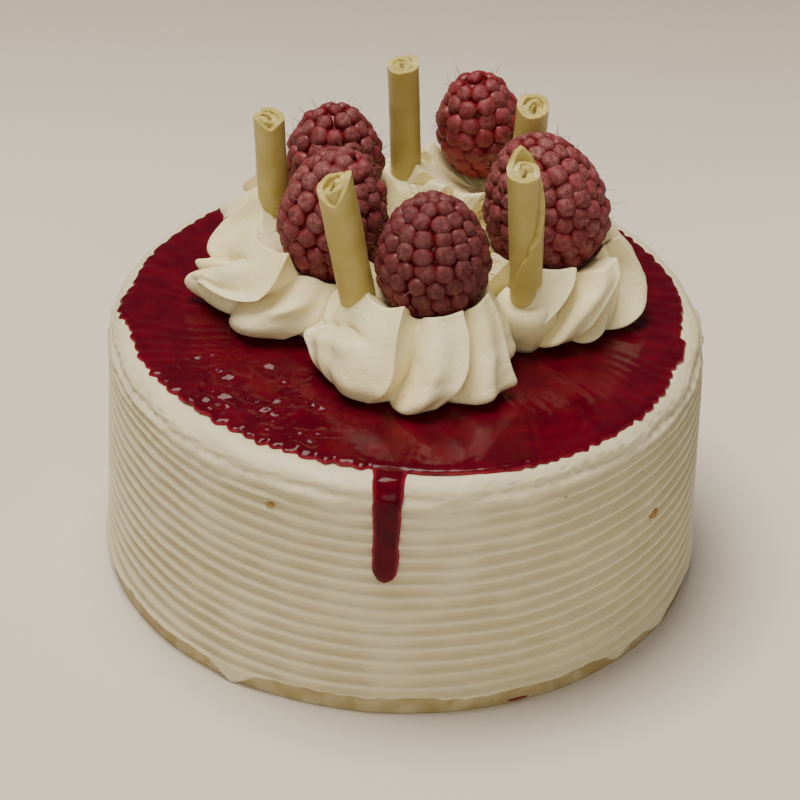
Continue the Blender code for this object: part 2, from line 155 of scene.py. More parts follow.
def waves(angle, seed, lowest, highest, count=9):
    """Seamless wavy line round a circle, about -1 to 1."""
    draw = random.Random(seed)
    total = np.zeros_like(np.asarray(angle, float))
    for _ in range(count):
        turns = draw.randint(lowest, highest)
        total += draw.uniform(0.4, 1.0) * np.sin(turns * angle + draw.uniform(0.0, 6.28))
    return total / (0.75 * math.sqrt(count))


# %% [markdown]
# ## Helpers for nodes
#
# Materials and Geometry Nodes are both trees of nodes. One helper adds a node, fills
# its sockets with numbers or joins them to other nodes, and returns it. The others
# are built from it: arithmetic, soft steps, noise, colours, and the start, the end
# and the running of a geometry tree.

# %% Node helpers
def add(tree, kind, inputs=None, **settings):
    """Add a node; each input is a number, a colour or another node's socket."""
    node = tree.nodes.new(kind)
    for name, value in settings.items():
        setattr(node, name, value)
    for key, value in (inputs or {}).items():
        if isinstance(value, bpy.types.NodeSocket):
            tree.links.new(value, node.inputs[key])
        else:
            node.inputs[key].default_value = value
    return node


def calc(tree, operation, *values):
    """One step of arithmetic; returns its result socket."""
    node = add(tree, "ShaderNodeMath", dict(enumerate(values)), operation=operation)
    return node.outputs[0]


def product(tree, first, *others):
    """Numbers and sockets multiplied together; returns the result socket."""
    for other in others:
        first = calc(tree, "MULTIPLY", first, other)
    return first


def ease(tree, value, low, high, to_low=0.0, to_high=1.0):
    """Smooth step between two limits; returns its result socket."""
    inputs = {"Value": value, "From Min": low, "From Max": high,
              "To Min": to_low, "To Max": to_high}
    node = add(tree, "ShaderNodeMapRange", inputs, interpolation_type="SMOOTHSTEP")
    return node.outputs["Result"]


def linear(hex_colour):
    """Screen colour such as 'E8E0C8' as the linear values that shaders use."""
    parts = [int(hex_colour[i:i + 2], 16) / 255.0 for i in (0, 2, 4)]
    parts = [c / 12.92 if c <= 0.04045 else ((c + 0.055) / 1.055) ** 2.4 for c in parts]
    return (*parts, 1.0)


def new_geometry_tree(name, numbers):
    """Geometry tree with one geometry input and named number inputs."""
    tree = bpy.data.node_groups.new(name, "GeometryNodeTree")
    tree.interface.new_socket("Geometry", in_out="INPUT", socket_type="NodeSocketGeometry")
    for label, value in numbers.items():
        kind = "NodeSocketInt" if isinstance(value, int) else "NodeSocketFloat"
        socket = tree.interface.new_socket(label, in_out="INPUT", socket_type=kind)
        socket.default_value = value
    tree.interface.new_socket("Geometry", in_out="OUTPUT", socket_type="NodeSocketGeometry")
    return tree, add(tree, "NodeGroupInput"), add(tree, "NodeGroupOutput")


def read_in_nodes(tree, name, kind="FLOAT"):
    """Value that a mesh keeps for each point, for a geometry tree."""
    node = add(tree, "GeometryNodeInputNamedAttribute", {"Name": name}, data_type=kind)
    return node.outputs[0]


def ruffle(tree, scale, detail):
    """Noise over the points of a skin, for a geometry tree; returns its factor."""
    return add(tree, "ShaderNodeTexNoise", {"Scale": scale, "Detail": detail}).outputs["Fac"]


def polar(tree):
    """Angle from the front, and x, y and z, of each point of a skin."""
    position = add(tree, "GeometryNodeInputPosition").outputs[0]
    x, y, z = add(tree, "ShaderNodeSeparateXYZ", {0: position}).outputs
    return calc(tree, "ARCTAN2", x, calc(tree, "MULTIPLY", y, -1.0)), x, y, z


def push(tree, geometry, direction, distance):
    """Move each point along a direction; returns the moved geometry."""
    offset = add(tree, "ShaderNodeVectorMath", {0: direction, "Scale": distance},
                 operation="SCALE")
    moved = add(tree, "GeometryNodeSetPosition",
                {"Geometry": geometry, "Offset": offset.outputs[0]})
    return moved.outputs[0]


def end_tree(tree, result, geometry, material):
    """Last steps of every tree: real faces, and the material on all of them."""
    real = add(tree, "GeometryNodeRealizeInstances", {0: geometry})
    painted = add(tree, "GeometryNodeSetMaterial",
                  {"Geometry": real.outputs[0], "Material": material})
    tree.links.new(painted.outputs[0], result.inputs[0])
    return tree


def run_tree(obj, tree, numbers=None):
    """Run a geometry tree on an object and keep its result as a plain mesh."""
    modifier = obj.modifiers.new(tree.name, "NODES")
    modifier.node_group = tree
    numbers = numbers or {}
    for item in tree.interface.items_tree:
        if item.item_type == "SOCKET" and item.in_out == "INPUT" and item.name in numbers:
            modifier[item.identifier] = numbers[item.name]
    bpy.context.view_layer.update()
    graph = bpy.context.evaluated_depsgraph_get()
    mesh = bpy.data.meshes.new_from_object(obj.evaluated_get(graph), depsgraph=graph)
    obj.modifiers.remove(modifier)
    old = obj.data
    obj.data = mesh
    bpy.data.meshes.remove(old)


def principled(name, **settings):
    """New material; returns it with its tree and its Principled shader."""
    material = bpy.data.materials.new(name)
    material.use_nodes = True
    tree = material.node_tree
    shader = tree.nodes["Principled BSDF"]
    for key, value in settings.items():
        shader.inputs[key.replace("_", " ")].default_value = value
    return material, tree, shader


def place(tree):
    """Object coordinates, in metres from the cake's foot."""
    return add(tree, "ShaderNodeTexCoord").outputs["Object"]


def noise(tree, scale_mm, detail=3.0, rough=0.5, vector=None):
    """Noise whose lumps are about scale_mm wide; returns its factor socket."""
    inputs = {"Vector": vector or place(tree), "Scale": 1000.0 / scale_mm,
              "Detail": detail, "Roughness": rough}
    return add(tree, "ShaderNodeTexNoise", inputs).outputs["Fac"]


def read_in_shader(tree, name):
    """Value that a mesh keeps for each point, for a material."""
    return add(tree, "ShaderNodeAttribute", attribute_name=name).outputs["Fac"]


def relief(tree, shader, height, depth_mm, strength):
    """Let a height socket dent and raise a shader's surface."""
    bump = add(tree, "ShaderNodeBump",
               {"Height": height, "Distance": depth_mm * MM, "Strength": strength})
    tree.links.new(bump.outputs["Normal"], shader.inputs["Normal"])


def tint(tree, factor, low, high):
    """Mix of two hex colours or colour sockets by a factor; returns the colour socket."""
    low = low if isinstance(low, bpy.types.NodeSocket) else linear(low)
    high = high if isinstance(high, bpy.types.NodeSocket) else linear(high)
    node = add(tree, "ShaderNodeMix", {"Factor": factor}, data_type="RGBA")
    for socket, value in ((node.inputs[6], low), (node.inputs[7], high)):
        if isinstance(value, bpy.types.NodeSocket):
            tree.links.new(value, socket)
        else:
            socket.default_value = value
    return node.outputs[2]


# %% [markdown]
# ## Buttercream
#
# Real buttercream is whipped butter, sugar and a little egg: an off-white fat full
# of fine air bubbles. Light enters it and comes out again a few millimetres away,
# so its shadows are warm and soft. Its IOR is about 1.46 and it is satin rather than
# glossy, because the comb leaves it slightly torn. Small pits and a faint yellow
# mottling come from bubbles and butter. All of it is noise in the cake's own space,
# so it holds still from every side.

# %% Buttercream material
def buttercream(name, light, deep, rough, pit_mm, pit_depth_mm, glow_mm):
    """Whipped fat: two close off-whites, satin, with pits and light that soaks in."""
    material, tree, shader = principled(
        name, Roughness=rough, IOR=1.46, Subsurface_Weight=0.25, Subsurface_Scale=glow_mm * MM,
        Subsurface_Radius=(1.0, 0.8, 0.5))
    mottle = ease(tree, noise(tree, 14.0, 4.0), 0.30, 0.72)
    tree.links.new(tint(tree, mottle, light, deep), shader.inputs["Base Color"])
    lumps = product(tree, noise(tree, 2.2, 3.0), 0.5)
    pits = product(tree, ease(tree, noise(tree, pit_mm, 2.0), 0.34, 0.44), 0.35)
    grain = product(tree, noise(tree, 0.5, 2.0), 0.16)
    height = calc(tree, "ADD", calc(tree, "ADD", lumps, pits), grain)
    relief(tree, shader, height, pit_depth_mm, 0.55)
    return material


def band_tint_and_shade(material):
    """The plain band at the foot is thin cream over sponge and sits in shade under the lip, so it
    is darker: partly its own colour, partly painted shade.
    """
    tree = material.node_tree
    shader = tree.nodes["Principled BSDF"]
    colour = shader.inputs["Base Color"].links[0].from_socket
    patches = ease(tree, noise(tree, 5.0, 3.0), 0.3, 0.6, 0.55, 1.0)
    patchy = product(tree, read_in_shader(tree, "band"), patches)
    # Painted shade, partly: the band's darker colour is thin cream over sponge and also the shade
    # at the foot under the lip.
    tree.links.new(tint(tree, patchy, colour, "AC9866"), shader.inputs["Base Color"])


coat_cream = buttercream("coat_buttercream", "DED5B2", "D9CFAA", 0.46, 3.2, 0.35, 1.8)
piped_cream = buttercream("piped_cream", "F4EABC", "EFE2AE", 0.45, 1.6, 0.30, 1.2)
band_tint_and_shade(coat_cream)
print("creams:", coat_cream.name, piped_cream.name)

# %% [markdown]
# ## The cream coat
#
# The coat was spread by hand and then drawn round with a toothed comb, so fourteen
# soft ribs run round the side with grooves between them. The comb was held
# freely, so its lines climb towards both sides and wander a little. Above them the
# rim was smoothed inward, and at the foot a plain band shows under a ragged lip.
#
# The form is turned on a wheel, so rows of points round an axis give it, and its slow
# unevenness is added to the rows. The comb is one rule that repeats, so Geometry
# Nodes draw it over the finished skin, with its pitch and depth as inputs.

# %% Sizes of the coat
SIDE_R = 62.2
TOP_Z = 56.0
RIM_R = 5.0
BAND_INSET = 0.9
RIB_COUNT = 14
RIB_LOW = 4.6
RIB_HIGH = 50.0
RIB_DEPTH = 1.55
RIB_RISE = 3.6
LEAN = 0.6
COAT_COLUMNS = 420
SIDE_ROWS = 176
RIM_ROWS = 18
RIM_LIFT = 0.25
LIP_Z = 3.8
LIP_ROLL = 0.22
RIM_WAVE = 0.20
RIM_TEAR = 0.16
RIM_HEAVE = 0.22
# Angle, width and drop of the places where the lip was smeared or torn down.
LIP_FALLS = [(-33.0, 4.0, 3.6), (47.0, 3.0, 2.4), (60.0, 3.5, 2.0)]
# Angle and width of the place beside the drip that a knife smoothed again.
SMOOTHED = (8.5, 6.0)


def side_bulge(theta, z):
    """Hand-spread unevenness of the side."""
    wave = 0.38 * np.sin(2.0 * theta + 0.9) + 0.22 * np.sin(3.0 * theta - 1.1 + 0.02 * z)
    lean_in = 0.4 * smooth(40.0, 56.0, z) * np.sin(theta - 2.2)
    return wave * smooth(0.0, 12.0, z) + lean_in


def coat_outline():
    """Radius and height from the foot, up the side and over the rim."""
    side = [(SIDE_R, z) for z in np.linspace(0.0, TOP_Z - RIM_R, SIDE_ROWS)]
    rim_x = SIDE_R - RIM_R
    rim = [(rim_x + RIM_R * math.cos(a), TOP_Z - RIM_R + (RIM_R + RIM_LIFT) * math.sin(a))
           for a in np.radians(np.linspace(5.0, 90.0, RIM_ROWS))]
    top = [(rim_x - 0.8, TOP_Z + 0.1), (rim_x - 2.0, TOP_Z - 0.05), (50.0, TOP_Z - 0.1),
           (30.0, TOP_Z - 0.1)]
    return np.array(side + rim + top)


print("coat:", RIB_COUNT, "ribs of", round((RIB_HIGH - RIB_LOW) / RIB_COUNT, 2), "mm")

# %% Rows of the coat
def lip_height(theta):
    """Height of the ragged lip over the plain band at the foot."""
    degrees = np.degrees(theta)
    line = LIP_Z + 0.40 * waves(theta, 3, 4, 22) + 0.16 * waves(theta, 4, 40, 120)
    falls = [drop * bell(degrees, at, width) for at, width, drop in LIP_FALLS]
    return line - sum(falls)


def coat_rows():
    """Rows of the coat before it is combed, and how combed and how bare each point is."""
    outline = coat_outline()
    theta = np.linspace(0.0, 2.0 * math.pi, COAT_COLUMNS, endpoint=False)
    r = outline[:, :1] + np.zeros_like(theta)
    z = outline[:, 1:] + np.zeros_like(theta)
    t = theta[None, :] + np.zeros_like(r)
    share = smooth(20.0, SIDE_R - 4.0, r)
    signed = (t + math.pi) % (2.0 * math.pi) - math.pi
    lip = lip_height(signed)
    under = 1.0 - smooth(-0.3, 0.35, z - lip)
    roll = bell(z - lip, 0.6, 0.7)
    r = r + side_bulge(t, z) * share
    r = r - BAND_INSET * under * share + LIP_ROLL * roll * share
    high = smooth(47.0, 52.0, z) * (1.0 - smooth(55.4, 56.2, z)) * share
    r = r + RIM_WAVE * high * waves(signed + 0.06 * z, 7, 8, 30)
    r = r + RIM_TEAR * high * waves(3.0 * signed + 0.9 * z, 17, 5, 40)
    z = z + RIM_HEAVE * smooth(54.0, 56.0, z) * share * waves(signed, 8, 5, 26)
    x = r * np.sin(t) + LEAN * z / TOP_Z
    y = -r * np.cos(t)
    patch = bell(np.degrees(signed), *SMOOTHED) * smooth(44.0, 49.0, z)
    combed = share * (1.0 - patch) * (1.0 - 0.35 * high)
    return np.stack([x, y, z], -1), combed, under * share


rows, combed, band = coat_rows()
coat_mesh = skin_mesh("cream_coat", rows, (0.0, 0.0, 0.0), (LEAN, 0.0, TOP_Z - 0.1))
point_values(coat_mesh, "combed", np.append(combed.ravel(), [0.0, 0.0]))
point_values(coat_mesh, "band", np.append(band.ravel(), [0.0, 0.0]))
coat = show("cream_coat", coat_mesh, coat_cream)
print("coat rows", rows.shape[:2])

# %% [markdown]
# ### Drawing the comb
#
# The tree reads each point's height and its angle round the cake. It lowers the
# height by the climb of the comb there, divides by the pitch, and keeps the
# fraction: that says where between two grooves the point lies. A smooth step turns
# it into a soft wave with ribs and grooves of equal width. Slow noise lets the lines
# wander, and quicker noise lets the comb bite unevenly.

# %% Comb tree
def comb_tree():
    """Geometry tree that draws comb ribs round an upright skin."""
    pitch = (RIB_HIGH - RIB_LOW) / RIB_COUNT * MM
    tree, given, result = new_geometry_tree("comb_the_side", {
        "Rib Pitch": pitch, "Rib Depth": RIB_DEPTH * MM, "Side Climb": RIB_RISE * MM,
        "Lowest Rib": RIB_LOW * MM, "Highest Rib": RIB_HIGH * MM, "Wander": 0.7 * MM})
    sockets = given.outputs
    angle, _, _, z = polar(tree)
    sine = calc(tree, "SINE", angle)
    ripple = calc(tree, "SINE", calc(tree, "MULTIPLY_ADD", angle, 3.0, 0.8))
    climb = product(tree, sockets["Side Climb"], calc(tree, "MULTIPLY", sine, sine))
    climb = calc(tree, "MULTIPLY_ADD", ripple, 0.35 * MM, climb)
    fade = product(tree, ease(tree, z, 1.0 * MM, 12.0 * MM),
                   ease(tree, z, 46.0 * MM, 54.5 * MM, 1.0, 0.0))
    stray = product(tree, calc(tree, "SUBTRACT", ruffle(tree, 45.0, 2.0), 0.5),
                    sockets["Wander"], 2.0)
    drawn = calc(tree, "SUBTRACT", z, product(tree, climb, fade))
    drawn = calc(tree, "SUBTRACT", drawn, stray)
    steps = calc(tree, "DIVIDE", calc(tree, "SUBTRACT", sockets["Highest Rib"], drawn),
                 sockets["Rib Pitch"])
    between = calc(tree, "FRACT", calc(tree, "ADD", steps, 40.0))
    across = calc(tree, "ABSOLUTE", calc(tree, "MULTIPLY_ADD", between, 2.0, -1.0))
    groove = ease(tree, across, 0.12, 0.92)
    low = ease(tree, drawn, calc(tree, "SUBTRACT", sockets["Lowest Rib"], 0.8 * MM),
               calc(tree, "ADD", sockets["Lowest Rib"], 0.6 * MM))
    high = ease(tree, z, 51.5 * MM, 56.8 * MM, 1.0, 0.0)
    bite = ease(tree, ruffle(tree, 90.0, 3.0), 0.28, 0.62, 0.5, 1.1)
    depth = product(tree, groove, low, high, bite, read_in_nodes(tree, "combed"),
                    sockets["Rib Depth"], -1.0)
    back = calc(tree, "MULTIPLY", calc(tree, "COSINE", angle), -1.0)
    outward = add(tree, "ShaderNodeCombineXYZ", {0: sine, 1: back}).outputs[0]
    combed_skin = push(tree, sockets["Geometry"], outward, depth)
    return end_tree(tree, result, combed_skin, coat_cream)


run_tree(coat, comb_tree())
print("combed", len(coat.data.polygons), "faces")

# %% [markdown]
# ### Soft lumps
#
# Cream that was pushed about by hand is never quite even. A second, smaller tree
# moves any skin in and out along its normals by slow and quick noise. It is used
# for the coat, and again with smaller lumps for the drip and the rosettes.

# %% Lump tree
def lump_tree(material):
    """Geometry tree that makes a skin softly uneven along its normals."""
    tree, given, result = new_geometry_tree("lumps_in_" + material.name, {
        "Lump Size": 8.0, "Lump Height": 0.25 * MM, "Ripple Height": 0.05 * MM, "Seed": 1.0})
    sockets = given.outputs
    scale = calc(tree, "DIVIDE", 1000.0, sockets["Lump Size"])
    moves = []
    for finer, detail, height in ((1.0, 1.0, "Lump Height"), (4.0, 2.0, "Ripple Height")):
        swell = add(tree, "ShaderNodeTexNoise",
                    {"Scale": product(tree, scale, finer), "W": sockets["Seed"],
                     "Detail": detail}, noise_dimensions="4D").outputs["Fac"]
        moves.append(product(tree, calc(tree, "SUBTRACT", swell, 0.5), sockets[height]))
    total = product(tree, calc(tree, "ADD", *moves), 2.0)
    normal = add(tree, "GeometryNodeInputNormal").outputs[0]
    return end_tree(tree, result, push(tree, sockets["Geometry"], normal, total), material)


run_tree(coat, lump_tree(coat_cream), {"Lump Size": 10.0, "Lump Height": 0.22 * MM,
                                       "Ripple Height": 0.07 * MM, "Seed": 2.0})
print("coat is", round(1000 * max(coat.dimensions[:2]), 1), "mm across")

# %% [markdown]
# ### Crumbs in the coat
#
# The comb tore the coat in three places and left crumbs of sponge there, and a
# smear of berry juice lies at the foot. They are small lumps pressed into the skin,
# so each is a ball with noise on it, set on the side at its angle and height.

# %% Crumbs
def dull_material(name, light, deep):
    """Crumb, smear or dry hair: dull, in two close colours."""
    material, tree, shader = principled(name, Roughness=0.7, IOR=1.45)
    tree.links.new(tint(tree, noise(tree, 0.8), light, deep), shader.inputs["Base Color"])
    return material


def crumb(name, degrees, z, half_sizes, depth, material, seed):
    """Small uneven lump set into the side; half sizes run round, up and outward."""
    theta = math.radians(degrees)
    draws = random.Random(seed)
    phases = [draws.uniform(0.0, 6.28) for _ in range(3)]
    out = np.array([math.sin(theta), -math.cos(theta), 0.0])
    round_way = np.array([math.cos(theta), math.sin(theta), 0.0])
    middle = out * (SIDE_R - depth + float(side_bulge(theta, z))) + [LEAN * z / TOP_Z, 0.0, z]
    rows = []
    around = np.linspace(0.0, 2.0 * math.pi, 18, endpoint=False)
    for b in np.radians(np.linspace(-80.0, 80.0, 11)):
        bump = 1.0 + 0.20 * np.sin(3.0 * around + phases[0]) * np.cos(2.0 * b + phases[1])
        bump = bump + 0.10 * np.sin(7.0 * around + phases[2])
        flat = np.outer(np.cos(around) * bump, round_way * half_sizes[0])
        flat = flat + np.outer(np.sin(around) * bump, out * half_sizes[2])
        rows.append(middle + flat * math.cos(b) + [0.0, 0.0, half_sizes[1] * math.sin(b)])
    reach = np.array([0.0, 0.0, half_sizes[1]])
    return show(name, skin_mesh(name, rows, middle - reach, middle + reach), material)


sponge = dull_material("sponge_crumb", "B08A48", "8E6A30")
juice = dull_material("juice_smear", "8C2436", "6A1020")
CRUMBS = [
    # name, angle, height, half sizes, depth in the coat, material, seed
    ("crumb_a", 55.7, 33.3, (1.15, 1.25, 0.8), 0.35, sponge, 1),
    ("crumb_b", -25.7, 47.0, (0.9, 0.45, 0.6), 0.5, sponge, 2),
    ("crumb_c", 31.2, 49.3, (0.7, 0.4, 0.5), 0.4, sponge, 3),
    ("smear", 24.1, 0.7, (2.6, 0.35, 0.5), 1.1, juice, 4),
]
join(coat, *[crumb(*values) for values in CRUMBS])
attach(coat, "root")
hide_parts("cake_body")
print("coat has", len(coat.data.polygons), "faces")

# %% [markdown]
# ## Raspberry glaze
#
# The glaze is raspberry purée set with pectin: a wet gel of IOR about 1.4, so
# smooth that it mirrors the lamp in small bright spots. It is deep red where it is
# thick and pink where it thins out over the cream at its edge. Tiny seeds and pulp
# keep its colour from being even.

# %% Glaze material
def glaze_material(name, shine):
    """Fruit gel: deep red, pinker where thin, with a sharp wet shine."""
    material, tree, shader = principled(
        name, Roughness=0.13, IOR=1.42, Specular_IOR_Level=shine, Subsurface_Weight=0.12,
        Subsurface_Scale=1.5 * MM, Subsurface_Radius=(1.0, 0.15, 0.15))
    pulp = ease(tree, noise(tree, 5.0, 4.0), 0.36, 0.66)
    body = tint(tree, pulp, "490313", "590517")
    patches = ease(tree, noise(tree, 1.6, 3.0), 0.3, 0.6, 0.35, 1.0)
    patchy = product(tree, read_in_shader(tree, "thin"), patches)
    tree.links.new(tint(tree, patchy, body, "A02A3C"), shader.inputs["Base Color"])
    relief(tree, shader, noise(tree, 2.6, 1.0), 0.25, 0.09)
    return material


gel = glaze_material("raspberry_gel", 0.18)
run_gel = glaze_material("raspberry_gel_run", 0.16)
print("gels:", gel.name, run_gel.name)

# %% [markdown]
# ### The glaze sheet
#
# The glaze was combed as well: fine ridges run from the middle to the edge, and it
# ends in a scallop at each ridge. It was poured, so it is a sheet with a rounded
# edge lying on the cream and bending down with it over the rim. Rows of points
# follow its section: outward below, round the edge, and back in on top. Each point
# also keeps its place between two ridges and how thin the gel is there, for the next
# tree and for the material.

# %% Sizes of the glaze
GLAZE_EDGE = 57.3
GLAZE_THICK = 0.95
GLAZE_RIDGES = 92
DRIP_ANGLE = -3.0
GLAZE_COLUMNS = 736


def cream_height(r):
    """Height of the cream under the glaze at a radius."""
    over = np.clip((np.asarray(r, float) - (SIDE_R - RIM_R)) / RIM_R, 0.0, 0.995)
    return TOP_Z - RIM_R + (RIM_R + RIM_LIFT) * np.sqrt(1.0 - over ** 2)


def ridge_phase(theta, r):
    """Ridges passed so far on the way round; they curve a little towards the middle."""
    curve = 0.10 * smooth(57.0, 42.0, r) + 0.12 * smooth(42.0, 20.0, r)
    drift = 0.35 * np.sin(5.0 * theta + 1.0) + 0.25 * np.sin(11.0 * theta)
    return GLAZE_RIDGES * (theta - curve) / (2.0 * math.pi) + drift


# How much further out than a true circle the glaze was pushed, by degrees round,
# and the two places where it ran a little way over the rim.
EDGE_PUSH = [(-180.0, 0.3), (-125.0, 1.2), (-104.0, 1.3), (-92.0, 0.6), (-79.0, 0.8),
             (-66.0, 0.2), (-54.0, -1.4), (-40.0, -1.7), (-30.0, -0.8), (-15.0, -1.7),
             (-3.0, -1.3), (9.0, -0.1), (20.0, 1.4), (45.0, 1.3), (60.0, 1.6), (70.0, 1.0),
             (79.0, -0.8), (90.0, -0.2), (102.0, 0.8), (120.0, 0.2), (180.0, 0.3)]
SPILLS = [(-92.0, 6.0, 2.3), (80.0, 5.0, 1.9)]


def glaze_edge(theta):
    """Radius of the scalloped edge: ragged at the front left, calm beside the drip."""
    draws = random.Random(11)
    reach = np.array([draws.uniform(-1.0, 1.0) for _ in range(GLAZE_RIDGES + 4)])
    phase = ridge_phase(theta, 57.0 + 0.0 * theta)
    rib = np.floor(phase).astype(int) % GLAZE_RIDGES
    between = phase - np.floor(phase)
    tongue = 1.0 - np.abs(2.0 * between - 1.0) ** 1.8
    ragged = smooth(-1.9, -0.8, theta) * (1.0 - smooth(-0.35, 0.05, theta))
    calm = np.exp(-((theta - 0.20) / 0.24) ** 4)
    depth = (0.50 + 0.55 * ragged) * (1.0 - 0.9 * calm)
    wave = 0.35 * np.sin(3.0 * theta + 0.5) + 0.25 * np.sin(7.0 * theta + 2.0)
    edge = GLAZE_EDGE - 0.2 + wave + depth * (tongue - 0.6 + 0.45 * reach[rib] * tongue)
    edge = edge + (0.14 - 0.12 * calm) * waves(theta, 21, 90, 200)
    degrees, further = np.array(EDGE_PUSH).T
    near = [np.interp(np.degrees(theta) + shift, degrees, further) for shift in (-4.0, 0.0, 4.0)]
    edge = edge + sum(near) / 3.0
    for at, width, spill in SPILLS:
        edge = edge + spill * np.exp(-((np.degrees(theta) - at) / width) ** 4)
    return edge


print("glaze edge at", GLAZE_EDGE, "mm with", GLAZE_RIDGES, "scallops")

# %% Glaze sheet
GLAZE_SECTION = [
    # distance from the edge, height over the cream, share of the ridges
    (-26.0, -0.9, 0.0), (-1.6, -0.5, 0.0), (-0.10, -0.25, 0.0), (0.05, 0.06, 0.0),
    (0.08, 0.22, 0.1), (-0.02, 0.42, 0.2), (-0.25, 0.60, 0.4), (-0.6, 0.74, 0.6),
    (-1.05, 0.86, 0.8),
]
GLAZE_SECTION += [(-d, GLAZE_THICK, 1.0) for d in np.linspace(1.6, 26.0, 32)]
GLAZE_SECTION += [(-d, GLAZE_THICK, 1.0) for d in np.linspace(28.5, 50.0, 8)]


def glaze_sheet():
    """Sheet of gel on the cream with a rounded edge, closed underneath."""
    theta = np.linspace(0.0, 2.0 * math.pi, GLAZE_COLUMNS, endpoint=False)
    signed = (theta + math.pi) % (2.0 * math.pi) - math.pi
    edge = glaze_edge(signed)
    rows, phases, shares, thin = [], [], [], []
    for back, lift, share in GLAZE_SECTION:
        r = edge + back
        z = cream_height(r) + lift
        rows.append(np.stack([r * np.sin(theta) + LEAN, -r * np.cos(theta), z], -1))
        phases.append(ridge_phase(signed, r))
        shares.append(share * smooth(8.0, 40.0, r))
        thin.append(np.full_like(theta, 1.0 - smooth(0.1, 0.75, lift)))
    top = (LEAN, 0.0, TOP_Z + RIM_LIFT + GLAZE_THICK)
    mesh = skin_mesh("glaze", rows, (LEAN, 0.0, TOP_Z - 0.9), top)
    for label, values, at_fans in (("phase", phases, [0.0, 0.0]), ("share", shares, [0.0, 0.0]),
                                   ("thin", thin, [1.0, 0.0])):
        point_values(mesh, label, np.append(np.concatenate(values), at_fans))
    return mesh


glaze = show("glaze", glaze_sheet(), gel)
print("glaze sheet", len(glaze.data.polygons), "faces")

# %% [markdown]
# ### Combing the glaze
#
# A ridge repeats at every whole number of the stored phase, so one small tree lifts
# all of them. It also adds ripples that run across the ridges: the comb jumped a
# little on its way, mostly at the front left, and each jump left a bead of gel.

# %% Ridge tree
def ridge_tree():
    """Geometry tree that lifts ridges and cross ripples on the glaze."""
    tree, given, result = new_geometry_tree("comb_the_glaze", {
        "Ridge Height": 0.12 * MM, "Ripple Height": 0.42 * MM, "Ripple Pitch": 3.3 * MM})
    sockets = given.outputs
    angle, x, y, _ = polar(tree)
    radius = calc(tree, "SQRT", calc(tree, "ADD", product(tree, x, x), product(tree, y, y)))
    uneven = ruffle(tree, 110.0, 2.0)
    counted = calc(tree, "ADD", read_in_nodes(tree, "phase"), 300.0)
    # The ridge itself: a cosine between two grooves, lower in the calm part at the front.
    across = calc(tree, "MULTIPLY_ADD", calc(tree, "FRACT", counted), 2.0, -1.0)
    across = calc(tree, "ABSOLUTE", across)
    wave = calc(tree, "COSINE", product(tree, across, math.pi))
    calm = product(tree, ease(tree, angle, -0.7, -0.1), ease(tree, angle, 0.7, 1.3, 1.0, 0.0))
    rib = product(tree, wave, 0.5, ease(tree, uneven, 0.3, 0.65, 0.35, 1.15),
                  sockets["Ridge Height"], calc(tree, "SUBTRACT", 1.0, product(tree, calm, 0.6)))
    # The ripples across it: each ridge has its own start, and only the front left has many.
    own = add(tree, "ShaderNodeTexWhiteNoise", {"W": calc(tree, "FLOOR", counted)},
              noise_dimensions="1D")
    jump = calc(tree, "ADD", calc(tree, "DIVIDE", radius, sockets["Ripple Pitch"]),
                own.outputs["Value"])
    jump = calc(tree, "MULTIPLY_ADD", ruffle(tree, 150.0, 1.0), 2.5, jump)
    where = product(tree, ease(tree, angle, -1.4, -0.9, 0.15, 1.0),
                    ease(tree, angle, -0.5, -0.1, 1.0, 0.08), ease(tree, uneven, 0.4, 0.6))
    ripple = product(tree, calc(tree, "SINE", product(tree, jump, 6.283)),
                     sockets["Ripple Height"], where)
    lift = product(tree, calc(tree, "ADD", rib, ripple), read_in_nodes(tree, "share"))
    lifted = push(tree, sockets["Geometry"], (0.0, 0.0, 1.0), lift)
    return end_tree(tree, result, lifted, gel)


run_tree(glaze, ridge_tree())
print("glaze combed with", GLAZE_RIDGES, "ridges")

# %% [markdown]
# ### The drip
#
# One tongue of glaze ran over the rim and stopped two fifths of the way down. In
# section it is domed outside and reaches into the grooves behind, and its end is a
# heavier bead. It is a row of such sections along the rim's curve and the side, so
# the stations down the path are listed and the rest is drawn smoothly between them.

# %% Drip
DRIP_STATIONS = [
    # radius, height, outward slope, half width, thickness
    (52.5, 56.40, 90.0, 3.4, 0.6),
    (54.5, 56.45, 90.0, 3.6, 0.8),
    (57.2, 56.75, 88.0, 3.5, 1.0),
    (59.8, 56.30, 62.0, 3.3, 1.1),
    (62.0, 54.00, 34.0, 3.1, 1.2),
    (62.75, 51.5, 12.0, 3.0, 1.2),
    (62.85, 48.0, 0.0, 2.8, 1.2),
    (62.75, 43.5, 0.0, 2.7, 1.1),
    (62.80, 40.0, 0.0, 2.75, 1.3),
    (62.85, 37.4, 0.0, 2.75, 1.5),
    (62.85, 35.6, -4.0, 2.45, 1.5),
    (62.75, 34.4, -8.0, 1.7, 1.1),
    (62.60, 33.8, -14.0, 0.7, 0.5),
]
DRIP_SECTIONS = 90
DRIP_COLUMNS = 28
AROUND_DRIP = np.linspace(0.0, 2.0 * math.pi, DRIP_COLUMNS, endpoint=False)


